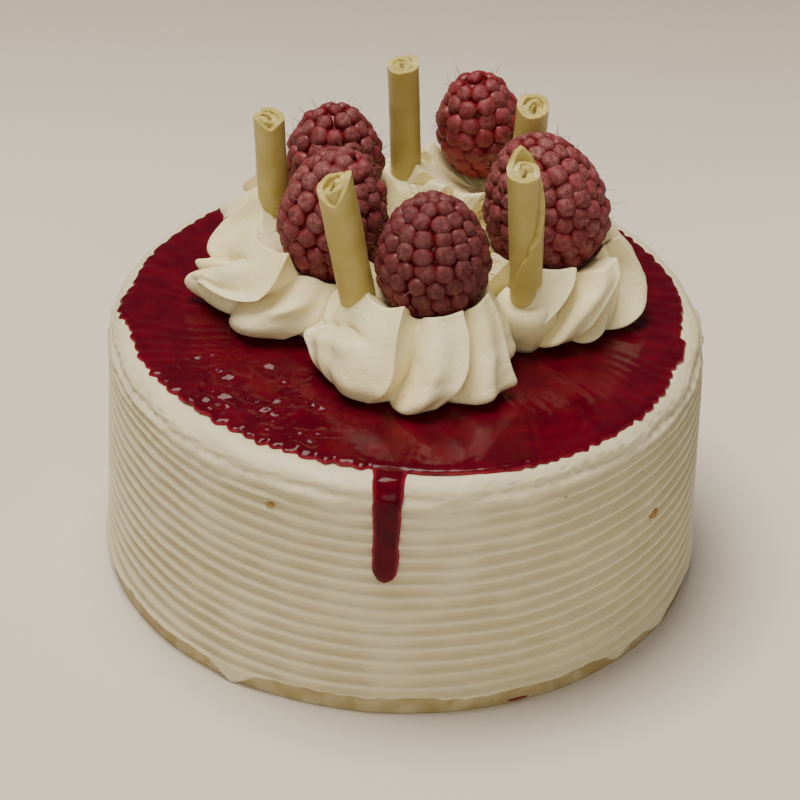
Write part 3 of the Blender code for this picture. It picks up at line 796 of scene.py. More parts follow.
def drip_rows():
    """Domed sections along the drip, lowest first."""
    stations = np.array(DRIP_STATIONS)
    at = np.linspace(0.0, 1.0, len(stations))
    fine = np.linspace(0.0, 1.0, DRIP_SECTIONS)
    values = [np.interp(fine, at, stations[:, k]) for k in range(5)]
    kernel = np.array([1.0, 3.0, 5.0, 6.0, 5.0, 3.0, 1.0]) / 24.0
    values = [np.convolve(np.pad(v, 3, mode="edge"), kernel, mode="valid") for v in values]
    height = np.abs(np.sin(AROUND_DRIP))
    dome = np.where(np.sin(AROUND_DRIP) > 0.0, height ** 0.8, -height)
    rows = []
    for index, (r, z, slope, half, thick) in enumerate(zip(*values)):
        a = math.radians(slope)
        edge = 1.0 + 0.025 * np.sin(0.4 * index + 2.0 * np.cos(AROUND_DRIP))
        across = half * np.cos(AROUND_DRIP) * edge
        lift = thick * (dome - 0.5)
        rr = r + lift * math.cos(a)
        zz = z + lift * math.sin(a)
        theta = math.radians(DRIP_ANGLE) + across / rr
        rows.append(np.stack([rr * np.sin(theta) + LEAN * zz / TOP_Z, -rr * np.cos(theta), zz], -1))
    return rows[::-1]


sections = drip_rows()
drip_mesh = skin_mesh("drip", sections, np.mean(sections[0], 0), np.mean(sections[-1], 0))
thin_edge = np.tile(0.9 * smooth(0.70, 1.0, np.abs(np.cos(AROUND_DRIP))), len(sections))
point_values(drip_mesh, "thin", np.append(thin_edge, [0.0, 0.0]))
drip = show("drip", drip_mesh, run_gel)
run_tree(drip, lump_tree(run_gel), {"Lump Size": 2.6, "Lump Height": 0.16 * MM,
                                    "Ripple Height": 0.03 * MM, "Seed": 5.0})
join(glaze, drip)
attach(glaze, "root")
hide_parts("raspberry_glaze")
print("glaze and drip", len(glaze.data.polygons), "faces")

# %% [markdown]
# ## Piped rosettes
#
# Each rosette was pressed from an open star tip held upright and turned a little as
# it was pulled away. Every tooth of the tip leaves a petal: full and puffy on the
# side that trails, with a thin crest on the side that leads, and a deep crease after
# it. The petals twist upward and their tips curl over. No two are the same, so each
# petal has its own angles and reach.
#
# The berries were set into the soft cream, so it is pressed down under them. Two
# rosettes that touch are flattened against each other. Both are rules on a point, so
# the rows are made first and every point is then settled.

# %% Where the rosettes and berries are
GAP = 0.3
DECK = 57.73
BERRIES = {
    # middle, half width, half length, lean
    "raspberry_front": ((5.2, -15.2, 81.6), 12.3, 14.4, (0.0, 0.0)),
    "raspberry_left": ((-15.2, 1.0, 81.1), 12.1, 15.2, (0.08, 0.0)),
    "raspberry_back_left": ((-15.7, 24.6, 79.5), 10.9, 13.6, (0.0, 0.0)),
    "raspberry_back_right": ((14.7, 38.6, 80.8), 9.9, 12.6, (-0.14, 0.0)),
    "raspberry_right": ((28.0, 8.0, 80.6), 13.6, 16.0, (-0.26, 0.0)),
}


def swept(foot, middle, tip, reach=1.0, top=0.55):
    """Plain petal that turns evenly from foot to tip."""
    return [(0.0, foot, 0.86 * reach), (0.25, foot + 0.77 * (middle - foot), reach),
            (0.5, middle + 0.12 * (tip - middle), (0.70 + 0.30 * top + 0.15 * (1 - top)) * reach),
            (0.75, middle + 0.51 * (tip - middle), (0.45 + 0.55 * top) * reach),
            (1.0, tip, top * reach)]


# Each petal's crest is a short list of stations: height share, angle, reach share.
# The ones that face the front follow the real crests and the rest turn evenly. Tips
# say how far each petal's tip lifts, soft is how often the skin is smoothed, hold is
# how little a rosette gives way, rim widens the blades, and tops lowers single petals.
# Shut and keen belong to single petals: where the crease beside one begins, and how
# early its blade shows.
ROSETTES = {
    "rosette_front": {
        "foot": (1.2, -19.3), "crown": (4.2, -16.0), "reach": 21.2, "height": 17.6, "soft": 1,
        "petals": [
            [(0.0, 204, 0.84), (0.22, 190, 1.03), (0.40, 184, 1.06), (0.56, 178, 0.98),
             (0.75, 166, 0.86), (1.0, 157, 0.66)],
            [(0.0, 238, 0.86), (0.28, 251, 1.0), (0.5, 253, 0.95), (0.8, 248, 0.79),
             (1.0, 246, 0.62)],
            [(0.0, 284, 0.88), (0.3, 291, 1.0), (0.55, 297, 0.94), (0.8, 300, 0.78),
             (1.0, 298, 0.61)],
            [(0.0, 333, 0.90), (0.14, 331, 1.12), (0.4, 329, 1.00), (0.75, 333, 0.81),
             (1.0, 334, 0.61)],
            swept(12, 20, 36, 0.95), swept(55, 68, 90, 0.95), swept(100, 115, 137, 0.95)],
        "tips": [0.4, 2.4, 0.6, 1.0, 0.8, 0.6, 0.6],
        "shut": {0: 1.0},
        "keen": {3: 1.0},
        "folds": [[(180, 0.46), (199, 0.61), (212, 0.655), (238, 0.70)]],
    },
    "rosette_left": {
        "foot": (-24.5, 4.2), "crown": (-20.0, 4.0), "reach": 19.8, "height": 17.5, "soft": 1,
        "petals": [
            [(0.0, 172, 0.88), (0.35, 166, 1.04), (0.5, 158, 1.07), (0.7, 147, 0.97),
             (1.0, 137, 0.72)],
            [(0.0, 192, 0.84), (0.21, 186, 1.07), (0.37, 184, 1.01), (0.46, 210, 0.97),
             (0.53, 238, 0.95), (0.75, 246, 0.83), (1.0, 245, 0.61)],
            swept(262, 285, 310, 0.97), swept(312, 335, 358), swept(356, 380, 403),
            swept(400, 425, 448), swept(446, 468, 488)],
        "tips": [1.6, 1.0, 0.6, 0.6, 0.6, 0.6, 0.6],
        "folds": [[(160, 0.32), (185, 0.58), (204, 0.73), (226, 0.84)]],
    },
    "rosette_right": {
        "foot": (28.5, 7.5), "crown": (29.5, 8.0), "reach": 20.3, "height": 17.4, "soft": 4,
        "hold": 1.3, "rim": 1.5,
        "petals": [
            [(0.0, 247, 1.04), (0.25, 255, 1.18), (0.5, 264, 1.12), (0.7, 275, 1.00),
             (0.85, 283, 0.88), (1.0, 286, 0.74)],
            [(0.0, 276, 0.92), (0.22, 287, 1.06), (0.45, 294, 1.04), (0.65, 303, 0.99),
             (0.82, 317, 0.93), (1.0, 321, 0.80)],
            [(0.0, 300, 0.92), (0.15, 311, 1.0), (0.35, 320, 0.88), (0.7, 333, 0.74),
             (1.0, 337, 0.56)],
            [(0.0, 322, 0.84), (0.12, 334, 1.0), (0.24, 346, 1.04), (0.48, 351, 1.0),
             (0.73, 349, 0.86), (1.0, 343, 0.64)],
            swept(12, 35, 56), swept(57, 80, 101), swept(102, 125, 147), swept(148, 172, 196),
            swept(194, 215, 234)],
        "tips": [1.2, 1.4, 0.2, 1.2, 0.6, 0.6, 0.6, 0.6, 0.6],
        "tops": [0.88, 0.82, 0.86, 0.94, 1.0, 1.0, 1.0, 1.0, 1.0],
        "folds": [],
    },
    "rosette_back_left": {
        "foot": (-18.5, 27.2), "crown": (-16.4, 26.0), "reach": 20.2, "height": 16.0, "soft": 12,
        "rim": 1.3,
        "petals": [swept(160, 182, 206, 1.08, 0.60), swept(124, 146, 168, 1.06, 0.62),
                   swept(86, 106, 128), swept(46, 68, 90), swept(6, 28, 50),
                   swept(-34, -12, 10), swept(-74, -52, -30), swept(-114, -92, -70),
                   swept(-154, -132, -110)],
        "tips": [1.0, 1.0, 0.6, 0.4, 0.4, 0.4, 0.4, 0.4, 0.4],
        "folds": [],
    },
    "rosette_back_right": {
        "foot": (15.5, 32.0), "crown": (14.5, 34.5), "reach": 19.8, "height": 17.0, "soft": 12,
        "rim": 1.3,
        "petals": [swept(160, 182, 206, 1.0, 0.66), swept(122, 144, 166), swept(84, 106, 128),
                   swept(46, 68, 90), swept(8, 30, 52), swept(-28, -7, 12),
                   swept(-64, -42, -22, 1.04, 0.7), swept(-98, -76, -54, 1.06, 0.72),
                   swept(-134, -110, -88, 1.06, 0.72), swept(-166, -144, -122, 1.0, 0.7)],
        "tips": [0.6, 0.5, 0.5, 0.5, 0.5, 0.5, 0.8, 1.0, 1.0, 0.8],
        "folds": [],
    },
}


# %% Petal rules
def along(stations, t, column):
    """Value of a petal's crest at height share t, smoothed through its stations."""
    heights = [station[0] for station in stations]
    values = [station[column] for station in stations]
    near = [float(np.interp(t + shift, heights, values))
            for shift in (-0.06, -0.03, 0.0, 0.03, 0.06)]
    return sum(near) / len(near)


def valley_share(t):
    """Radius of the creases as a share of the crest."""
    return float(0.84 - 0.24 * smooth(0.0, 0.30, t) + 0.14 * smooth(0.4, 1.0, t))


def in_one_turn(petals, tips):
    """Petals in order round one turn, each with the lift of its tip and its number."""
    first = min(along(p, 0.5, 1) % 360.0 for p in petals)
    turned = []
    for index, (petal, tip) in enumerate(zip(petals, tips)):
        shift = (along(petal, 0.5, 1) - first + 1e-6) // 360.0 * 360.0
        turned.append(([(h, angle - shift, reach) for h, angle, reach in petal], tip, index))
    return sorted(turned, key=lambda item: along(item[0], 0.5, 1))


# %% Settling points
CROWD = 1.2
BERRY_GAP = 0.5
BERRY_PRESS = 3.0
BERRY_BLEND = 0.8
NO_LIMIT = 1e6


def berry_turn(berry):
    """Rotation of a berry from upright to its own lean."""
    lean = berry[3]
    axis = Vector((lean[0], lean[1], 1.0)).normalized()
    return np.array(Vector((0.0, 0.0, 1.0)).rotation_difference(axis).to_matrix())


def underside(points, berry, margin):
    """Height of a berry's lower surface over each point, or no limit beside it."""
    centre, width, length, _ = berry
    back = berry_turn(berry).T
    sizes = np.array([width, width, length]) + margin
    flat = points - np.array(centre)
    flat[..., 2] = 0.0
    start = flat @ back.T / sizes
    rise = back @ np.array([0.0, 0.0, 1.0]) / sizes
    square = rise @ rise
    cross = start @ rise
    inside = cross ** 2 - square * ((start ** 2).sum(-1) - 1.0)
    low = centre[2] + (-cross - np.sqrt(np.maximum(inside, 0.0))) / square
    return np.where(inside > 0.0, low, NO_LIMIT)


def softly_below(value, limit, blend):
    """The lower of two heights, with a rounded corner of size blend."""
    share = np.clip(0.5 + 0.5 * (limit - value) / blend, 0.0, 1.0)
    lower = limit + (value - limit) * share
    return np.where(limit == NO_LIMIT, value, lower - blend * share * (1.0 - share))


def settle(points, name, t):
    """Press points at height share t against neighbours, berries and glaze."""
    points = points.copy()
    own = ROSETTES[name]
    for other, spec in ROSETTES.items():
        if other == name:
            continue
        a = np.array([*own["foot"], 0.0])
        b = np.array([*spec["foot"], 0.0])
        share = own.get("hold", 1.0) / (own.get("hold", 1.0) + spec.get("hold", 1.0))
        normal = (b - a) / np.linalg.norm(b - a)
        over = (points - a - (b - a) * share) @ normal + 0.5 * GAP
        back = np.where(over > -CROWD, (over + CROWD) ** 2 / (4.0 * CROWD), 0.0)
        back = np.where(over > CROWD, over, back)
        points = points - normal * back[..., None]
    for berry in BERRIES.values():
        limit = underside(points, berry, BERRY_GAP + BERRY_PRESS * (1.0 - t))
        points[..., 2] = softly_below(points[..., 2], limit, BERRY_BLEND)
    points[..., 2] = np.maximum(points[..., 2], DECK - 0.6)
    return points


print("berries press on", len(ROSETTES), "rosettes from", DECK, "mm up")

# %% [markdown]
# ### One row of a rosette
#
# Between two creases a petal swells early, stays full, and then sweeps up into a
# thin blade at its crest. Behind the blade it drops steeply into the next crease.
# That one-sided swell is what makes piped cream look piped: an even wave looks like
# a pumpkin. Columns of points follow each crest exactly, so the blade stays sharp.

# %% Rosette rows
LEVEL_COUNT = 52
TRAILING = 1.0 - (1.0 - np.arange(24) / 24.0) ** 1.5
LEADING = (np.arange(12) / 12.0) ** 1.3
TRAILING_BLADE = 2.6
LEADING_BLADE = 1.0


def petal_section(crest, start, end, reach, low, high, blade, rim):
    """Angles, radii, body and blade shares across one petal from crease to crease."""
    # The body fills fast after the crease, thins towards the blade and drops behind it.
    body_left = 1.0 - np.clip(1.0 - TRAILING / 0.5, 0.0, 1.0) ** 2.2
    body_left = body_left - 0.34 * smooth(0.45, 0.95, TRAILING)
    body_right = 0.66 * (1.0 - LEADING) ** 0.8
    angle = np.concatenate([start + (crest - start) * TRAILING, crest + (end - crest) * LEADING])
    body = np.concatenate([body_left, body_right])
    away = np.abs(angle - crest) * reach
    before_crest = np.arange(len(angle)) < len(TRAILING)
    width = np.where(before_crest, TRAILING_BLADE, LEADING_BLADE) * rim
    edge = np.exp(-(away / width) ** 1.4)
    share = (angle - start) / (end - start)
    valley = low + (high - low) * share
    full = reach - valley
    r = valley + full * body * (1.0 + 0.30 * (1.0 - blade)) + full * 0.40 * blade * edge
    return angle + 1.1 * blade / reach * edge, r, body, edge


def fold_depth(angle, t, fold, reach, height):
    """Inward push beside a fold line: sharp above the line, full below it."""
    line = np.array([(math.radians(a) * reach, share * height) for a, share in fold])
    here = np.stack([(angle % (2.0 * math.pi)) * reach, 0.0 * angle + t * height], -1)
    best = np.full(angle.shape, 1e9)
    side = np.zeros(angle.shape)
    near_end = np.zeros(angle.shape)
    total = len(line) - 1
    for index, (a, b) in enumerate(zip(line, line[1:])):
        run = b - a
        share = np.clip(((here - a) @ run) / (run @ run), 0.0, 1.0)
        gap = here - a - share[..., None] * run
        distance = np.linalg.norm(gap, axis=-1)
        above = gap[..., 1] * run[0] - gap[..., 0] * run[1] > 0.0
        closer = distance < best
        side = np.where(closer, np.where(above, 1.0, -1.0), side)
        near_end = np.where(closer, (index + share) / total, near_end)
        best = np.minimum(best, distance)
    fade = 1.0 - smooth(0.60, 1.0, near_end)
    above_line = 2.4 * np.exp(-(best / 0.8) ** 1.3) + 1.5 * np.exp(-(best / 3.4) ** 2)
    below_line = -1.0 * np.exp(-((best - 1.1) / 1.7) ** 2)
    blend = smooth(-0.35, 0.35, best * side)
    return (below_line + (above_line - below_line) * blend) * fade


def crease_open(spec, k, t):
    """How open the crease after petal k is; some petals start only part of the way up."""
    shut = spec.get("shut", {}).get(spec["order"][k], 0.0)
    return float(smooth(shut - 0.16, shut + 0.10, t)) if shut else 1.0


def creases(spec, reaches, k, t):
    """Radii of the creases before and after petal k."""
    before, here, after = reaches[k - 1], reaches[k], reaches[(k + 1) % len(reaches)]
    low = 0.5 * (here + before) * valley_share(t)
    high = 0.5 * (here + after) * valley_share(t)
    low = low + (0.97 * min(here, before) - low) * (1.0 - crease_open(spec, k - 1, t))
    high = high + (0.97 * here - high) * (1.0 - crease_open(spec, k, t))
    return low, high


def rosette_row(spec, petals, t):
    """One row of points round a rosette at height share t."""
    crests = np.radians([along(p, t, 1) for p, _, _ in petals])
    tuck = 1.0 - 0.11 * math.exp(-(t / 0.05) ** 2)
    reaches = [spec["reach"] * tuck * along(p, t, 2) for p, _, _ in petals]
    after = np.append(crests[1:], crests[0] + 2.0 * math.pi)
    before = np.append(crests[-1] - 2.0 * math.pi, crests[:-1])
    blade = float(smooth(0.05, 0.45, t))
    rise = float(smooth(0.5, 1.0, t))
    cx = spec["foot"][0] + (spec["crown"][0] - spec["foot"][0]) * t
    cy = spec["foot"][1] + (spec["crown"][1] - spec["foot"][1]) * t
    tops = [spec["tops"][index] if "tops" in spec else 1.0 for index in spec["order"]]
    row = []
    for k, (_, tip, _) in enumerate(petals):
        start = before[k] + 0.30 * (crests[k] - before[k])
        end = crests[k] + 0.30 * (after[k] - crests[k])
        low, high = creases(spec, reaches, k, t)
        keen = max(blade, spec.get("keen", {}).get(spec["order"][k], 0.0))
        angle, r, body, edge = petal_section(crests[k], start, end, reaches[k], low, high,
                                             keen, spec.get("rim", 1.0))
        for fold in spec["folds"]:
            r = r - fold_depth(angle, t, fold, spec["reach"], spec["height"])
        across = (angle - before[k]) / (after[k] - before[k])
        near_tops = (tops[k - 1], tops[k], tops[(k + 1) % len(tops)])
        top = np.interp(across, (0.0, 0.5, 1.0), near_tops)
        z = DECK - 0.5 + (spec["height"] + 0.5) * t * top
        z = z + (2.6 * (body - 0.8) + (0.9 + tip) * edge) * rise
        row.append(np.stack([cx + r * np.cos(angle), cy + r * np.sin(angle), z], -1))
    return np.concatenate(row)


def rosette_rows(name):
    """All rows of a rosette: up the outside, then inward to the crown."""
    spec = ROSETTES[name]
    petals = in_one_turn(spec["petals"], spec["tips"])
    spec["order"] = [index for _, _, index in petals]
    levels = np.linspace(0.0, 1.0, LEVEL_COUNT)
    rows = [settle(rosette_row(spec, petals, t), name, t) for t in levels]
    crown = np.array([*spec["crown"], DECK + 0.5 * spec["height"]])
    top = rosette_row(spec, petals, 1.0)
    for share in np.linspace(0.96, 0.15, 14):
        rows.append(settle(crown + (top - crown) * share - [0.0, 0.0, 0.4], name, 1.0))
    foot = (*spec["foot"], DECK - 0.6)
    return rows, foot, settle(crown[None, :], name, 1.0)[0]


print("creases reach", [round(valley_share(t), 2) for t in (0.0, 0.3, 1.0)], "of the crests")

# %% [markdown]
# ### Cream round the curls
#
# The curls were pushed into the soft cream, and it closed round them in a low
# mound. Each mound is a small turned skin that slopes down a little towards the
# front and ends inside the curl.

# %% Mounds
MOUNDS = {
    # middle, half width of the curl there, height at the curl, spread of the foot
    "rosette_left": [((-27.4, 13.6), 4.0, 69.0, 3.2)],
    "rosette_right": [((24.5, -9.9), 4.0, 68.8, 2.8)],
    "rosette_back_right": [((-0.8, 32.8), 3.8, 72.6, 4.2)],
}
MOUND_SLOPE = 0.9


def mound(name, middle, inner, top, spread, seed):
    """Low mound of cream round the foot of a curl."""
    around = np.linspace(0.0, 2.0 * math.pi, 64, endpoint=False)
    wave = 1.0 + 0.10 * waves(around, seed, 2, 6)
    rings = []
    for share in np.linspace(0.0, 1.0, 16):
        swell = math.sin(math.pi * (0.12 + 0.88 * share)) ** 0.8
        r = inner + 0.15 + spread * swell * wave - 2.0 * (1.0 - share) ** 2
        z = DECK - 0.5 + (top - DECK + 0.5) * (1.0 - (1.0 - share) ** 1.6)
        rings.append((r, z, share))
    rings += [(inner - 0.5, top - 0.1, 1.0), (inner - 1.5, top - 0.6, 1.0)]
    rows = [np.stack([middle[0] + r * np.cos(around), middle[1] + r * np.sin(around),
                      z + MOUND_SLOPE * share * np.sin(around)], -1) for r, z, share in rings]
    foot = (*middle, DECK - 0.5)
    return show(name, skin_mesh(name, rows, foot, (*middle, top - 0.8)), piped_cream)


print("mounds at", list(MOUNDS))

# %% Build the rosettes
cream_lumps = lump_tree(piped_cream)
for index, name in enumerate(ROSETTES):
    rows, foot, crown = rosette_rows(name)
    skin = soften_mesh(skin_mesh(name + "_cream", rows, foot, crown), ROSETTES[name]["soft"])
    piece = show(name + "_cream", skin, piped_cream)
    run_tree(piece, cream_lumps, {"Lump Size": 5.0, "Lump Height": 0.30 * MM,
                                  "Ripple Height": 0.06 * MM, "Seed": 3.0 + index})
    for sizes in MOUNDS.get(name, []):
        join(piece, mound(name + "_mound", *sizes, 40 + index))
    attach(piece, "root")
    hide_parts(name)
    print(name, len(piece.data.polygons), "faces")

# %% [markdown]
# ## Frozen raspberries
#
# A raspberry is a hollow cone of small round fruits, the drupelets, packed in
# staggered rings. These came out of the freezer: their skins are a little shrunken,
# some are creased or dented, and hoarfrost lies on them as a dusty pink bloom. The
# bloom is painted on the drupelets' tops and more towards the tip, so it also paints
# the light there, and the gaps are painted dark red as shade. Most drupelets keep a
# thin dry hair or two, the old styles.
#
# One bead repeated over a surface is what Geometry Nodes does best. A few kinds of
# bead are modelled once. A set of points says where each drupelet sits, which way it
# faces, how large it is and how much frost and painted light it has.

# %% Berry material
def berry_material():
    """Drupelet skin: painted shade makes it dark red low down in the gaps, and the frost where it
    stands out also paints light there.
    """
    material, tree, shader = principled(
        "frosted_raspberry", IOR=1.38, Subsurface_Weight=0.15, Subsurface_Scale=1.2 * MM,
        Subsurface_Radius=(1.0, 0.2, 0.15))
    height, frost_and_light, tone, shade = [read_in_shader(tree, name)
                                  for name in ("height", "frost_and_light", "tone", "shade")]
    skin = tint(tree, tone, "6A0C15", "861A27")
    # Painted shade: each drupelet is darker red low down, where it sinks into the gaps.
    skin = tint(tree, ease(tree, height, 0.05, 0.5), "680E14", skin)
    bloom = tint(tree, ease(tree, noise(tree, 1.0, 3.0), 0.35, 0.65), "763E40", "9C6664")
    speck = ease(tree, noise(tree, 0.45, 3.0, 0.6), 0.38, 0.62, 0.45, 1.0)
    # Frost and painted light: the bloom lies only on the drupelets' tops, so it also paints the
    # light falling on them.
    frost_and_light_amount = product(tree, ease(tree, height, 0.25, 0.95), frost_and_light, speck)
    colour = tint(tree, shade, tint(tree, frost_and_light_amount, skin, bloom), "260708")
    tree.links.new(colour, shader.inputs["Base Color"])
    tree.links.new(ease(tree, frost_and_light_amount, 0.0, 0.6, 0.34, 0.72), shader.inputs["Roughness"])
    relief(tree, shader, noise(tree, 0.35, 3.0), 0.10, 0.4)
    return material


fruit = berry_material()
style = dull_material("dry_style", "6B4A2E", "8C6A48")
print("berry materials:", fruit.name, style.name)

# %% [markdown]
# ### Beads and hairs
#
# A bead is a small ball, flattened where it meets the core, and some beads are dented
# or creased, as freezing leaves them. A bead's height above the core is stored on it, so
# that the frost, with the painted light on it, can lie on its top and the painted shade
# in its low sides wherever it is placed. A hair is a thin bent cone.

# %% Beads
def parts_collection(name, objects):
    """Collection of parts to place, not linked to the scene."""
    group = bpy.data.collections.new(name)
    for obj in objects:
        group.objects.link(obj)
    return group


def bead(name, seed, dent, crease):
    """One drupelet of unit radius, its outer side towards +Z."""
    draw = random.Random(seed)
    mesh = bpy.data.meshes.new(name)
    bm = bmesh.new()
    bmesh.ops.create_icosphere(bm, subdivisions=3, radius=1.0)
    turn = draw.uniform(0.0, 6.28)
    heights = []
    for vert in bm.verts:
        x, y, z = vert.co
        side = x * math.cos(turn) + y * math.sin(turn)
        around = math.hypot(x, y)
        out = 1.0 + 0.05 * math.sin(4.0 * x + seed) * math.sin(4.0 * y + 2.0 * seed)
        out -= dent * math.exp(-(around / 0.30) ** 2) * max(z, 0.0)
        out += 0.25 * dent * math.exp(-((around - 0.45) / 0.15) ** 2) * max(z, 0.0)
        out -= crease * math.exp(-(side / 0.13) ** 2) * max(z, 0.0) ** 0.7
        out -= 0.5 * crease * math.exp(-((side - 0.42) / 0.10) ** 2) * max(z, 0.0)
        vert.co = Vector((x * out, y * out, (z if z > 0.0 else 0.45 * z) * out))
        heights.append(max(0.0, vert.co.z))
    bm.to_mesh(mesh)
    bm.free()
    mesh.shade_smooth()
    point_values(mesh, "height", heights)
    return bpy.data.objects.new(name, mesh)


def hair(name, bend):
    """Thin tapered hair of unit length, bending over as it rises."""
    rows = []
    around = np.linspace(0.0, 2.0 * math.pi, 4, endpoint=False)
    for step in range(7):
        t = step / 6.0
        radius = 0.032 * (1.0 - 0.6 * t)
        bent = [bend * t * t, 0.3 * bend * math.sin(3.0 * t), t * (1.0 - 0.3 * bend * t)]
        middle = np.array(bent)
        ring = np.stack([np.cos(around), np.sin(around), 0.0 * around], -1) * radius
        rows.append((middle + ring) / MM)
    mesh = skin_mesh(name, rows, rows[0].mean(0), rows[-1].mean(0) + [0.0, 0.0, 0.01 / MM])
    return bpy.data.objects.new(name, mesh)


BEADS = [("bead_a", 1, 0.0, 0.0), ("bead_b", 2, 0.10, 0.0), ("bead_c", 3, 0.0, 0.16),
         ("bead_d", 4, 0.22, 0.0), ("bead_e", 5, 0.05, 0.10)]
HAIRS = [("hair_a", 0.35), ("hair_b", 0.7), ("hair_c", -0.2)]
beads = parts_collection("beads", [bead(*values) for values in BEADS])
hairs = parts_collection("hairs", [hair(*values) for values in HAIRS])

# %% [markdown]
# ### The placing tree
#
# The tree takes bare points, turns each copy to face along the stored direction,
# scales it by the stored size, and picks one of the parts at random with a fixed
# seed. Realize Instances then makes real faces of them.

# %% Placing tree
def placing_tree(name, collection, material):
    """Geometry tree that sets parts of a collection on points."""
    tree, given, result = new_geometry_tree(name, {"Seed": 1, "Size": 1.0})
    sockets = given.outputs
    facing = read_in_nodes(tree, "facing", "FLOAT_VECTOR")
    size = read_in_nodes(tree, "size", "FLOAT_VECTOR")
    turn = add(tree, "FunctionNodeAlignRotationToVector", {"Vector": facing}, axis="Z")
    spin = add(tree, "FunctionNodeRandomValue", {"Seed": sockets["Seed"]}, data_type="FLOAT")
    spin.inputs[2].default_value = 0.0
    spin.inputs[3].default_value = 6.283
    own = add(tree, "FunctionNodeAxisAngleToRotation", {"Axis": (0.0, 0.0, 1.0),
                                                        "Angle": spin.outputs[1]})
    both = add(tree, "FunctionNodeRotateRotation",
               {0: turn.outputs[0], 1: own.outputs[0]}, rotation_space="LOCAL")
    pick = add(tree, "FunctionNodeRandomValue", {"Seed": calc(tree, "ADD", sockets["Seed"], 7.0)},
               data_type="INT")
    pick.inputs[4].default_value = 0
    pick.inputs[5].default_value = len(collection.objects) - 1
    parts = add(tree, "GeometryNodeCollectionInfo",
                {"Collection": collection, "Separate Children": True, "Reset Children": True})
    scaled = add(tree, "ShaderNodeVectorMath", {0: size, "Scale": sockets["Size"]},
                 operation="SCALE")
    placed = add(tree, "GeometryNodeInstanceOnPoints", {
        "Points": sockets["Geometry"], "Instance": parts.outputs[0], "Pick Instance": True,
        "Instance Index": pick.outputs[2], "Rotation": both.outputs[0],
        "Scale": scaled.outputs[0]})
    return end_tree(tree, result, placed.outputs[0], material)


place_beads = placing_tree("place_beads", beads, fruit)
place_hairs = placing_tree("place_hairs", hairs, style)
print("trees:", place_beads.name, place_hairs.name)


def points_object(name, where, facing, sizes, values):
    """Mesh of bare points with a direction, a size and other values for each."""
    mesh = bpy.data.meshes.new(name)
    mesh.from_pydata([tuple(p) for p in np.asarray(where) * MM], [], [])
    for label, vectors in (("facing", facing), ("size", np.asarray(sizes) * MM)):
        layer = mesh.attributes.new(label, "FLOAT_VECTOR", "POINT")
        layer.data.foreach_set("vector", np.asarray(vectors, np.float32).ravel())
    for label, numbers in values.items():
        point_values(mesh, label, numbers)
    return show(name, mesh)


# %% [markdown]
# ### Where the drupelets sit
#
# The berry is an egg with its wide end down. Rings are spaced by the width of a
# drupelet along its outline, and each ring holds as many as fit round it, set half
# a step on from the ring below. A little unevenness in place and size is needed, or
# the berry looks machined.

# %% Berry points
def berry_outline(s, width, length):
    """Radius and height of the plain berry, s from 0 at the foot to 1 at the tip."""
    a = math.pi * s
    radius = width * math.sin(a) ** 0.86 * (0.97 + 0.15 * math.cos(a) - 0.08 * math.cos(a) ** 2)
    return radius, -length * math.cos(a)


def berry_path(width, length):
    """Outline points with their distance along it and their outward direction."""
    s = np.linspace(0.004, 0.996, 400)
    line = np.array([berry_outline(v, width, length) for v in s])
    step = np.diff(line, axis=0)
    travelled = np.concatenate([[0.0], np.cumsum(np.hypot(step[:, 0], step[:, 1]))])
    slope = np.gradient(line, axis=0)
    out = np.stack([slope[:, 1], -slope[:, 0]], -1)
    return line, travelled, out / np.linalg.norm(out, axis=1)[:, None]


def berry_points(width, length, drupelet, seed):
    """Place, direction and size of every drupelet of an upright berry."""
    draw = random.Random(seed)
    line, travelled, out = berry_path(width - 0.55 * drupelet, length - 0.5 * drupelet)
    total = travelled[-1]
    where, facing, sizes, tones = [], [], [], []
    at, row = 0.12 * total, 0
    while at < total - 0.3 * drupelet:
        share = at / total
        own = drupelet * float(0.80 + 0.22 * np.sin(math.pi * min(1.0, share * 0.95)))
        r = line[int(np.searchsorted(travelled, at)), 0]
        count = max(3, round(2.0 * math.pi * r / (own * 0.98)))
        turn = (row % 2) * 0.5 + draw.uniform(-0.12, 0.12)
        for k in range(count):
            a = 2.0 * math.pi * (k + turn + draw.uniform(-0.10, 0.10)) / count
            shift = draw.uniform(-0.09, 0.09) * drupelet
            near = min(len(line) - 1, max(0, int(np.searchsorted(travelled, at + shift))))
            r, z = line[near]
            away = out[near]
            normal = np.array([away[0] * math.cos(a), away[0] * math.sin(a), away[1]])
            where.append([r * math.cos(a), r * math.sin(a), z] + normal * draw.uniform(-0.20, 0.20))
            facing.append(normal)
            wide = own * draw.uniform(0.57, 0.66)
            sizes.append([wide, wide * draw.uniform(0.94, 1.10), wide * draw.uniform(0.74, 0.90)])
            tones.append(draw.random())
        at += own * 0.86
        row += 1
    where.append([0.0, 0.0, line[-1, 1] - 0.1])
    facing.append([0.0, 0.0, 1.0])
    sizes.append([0.42 * drupelet] * 3)
    tones.append(0.5)
    return np.array(where), np.array(facing), np.array(sizes), np.array(tones)


# %% Berry builder
CORE_SIDE = 2.0
CORE_END = 1.9


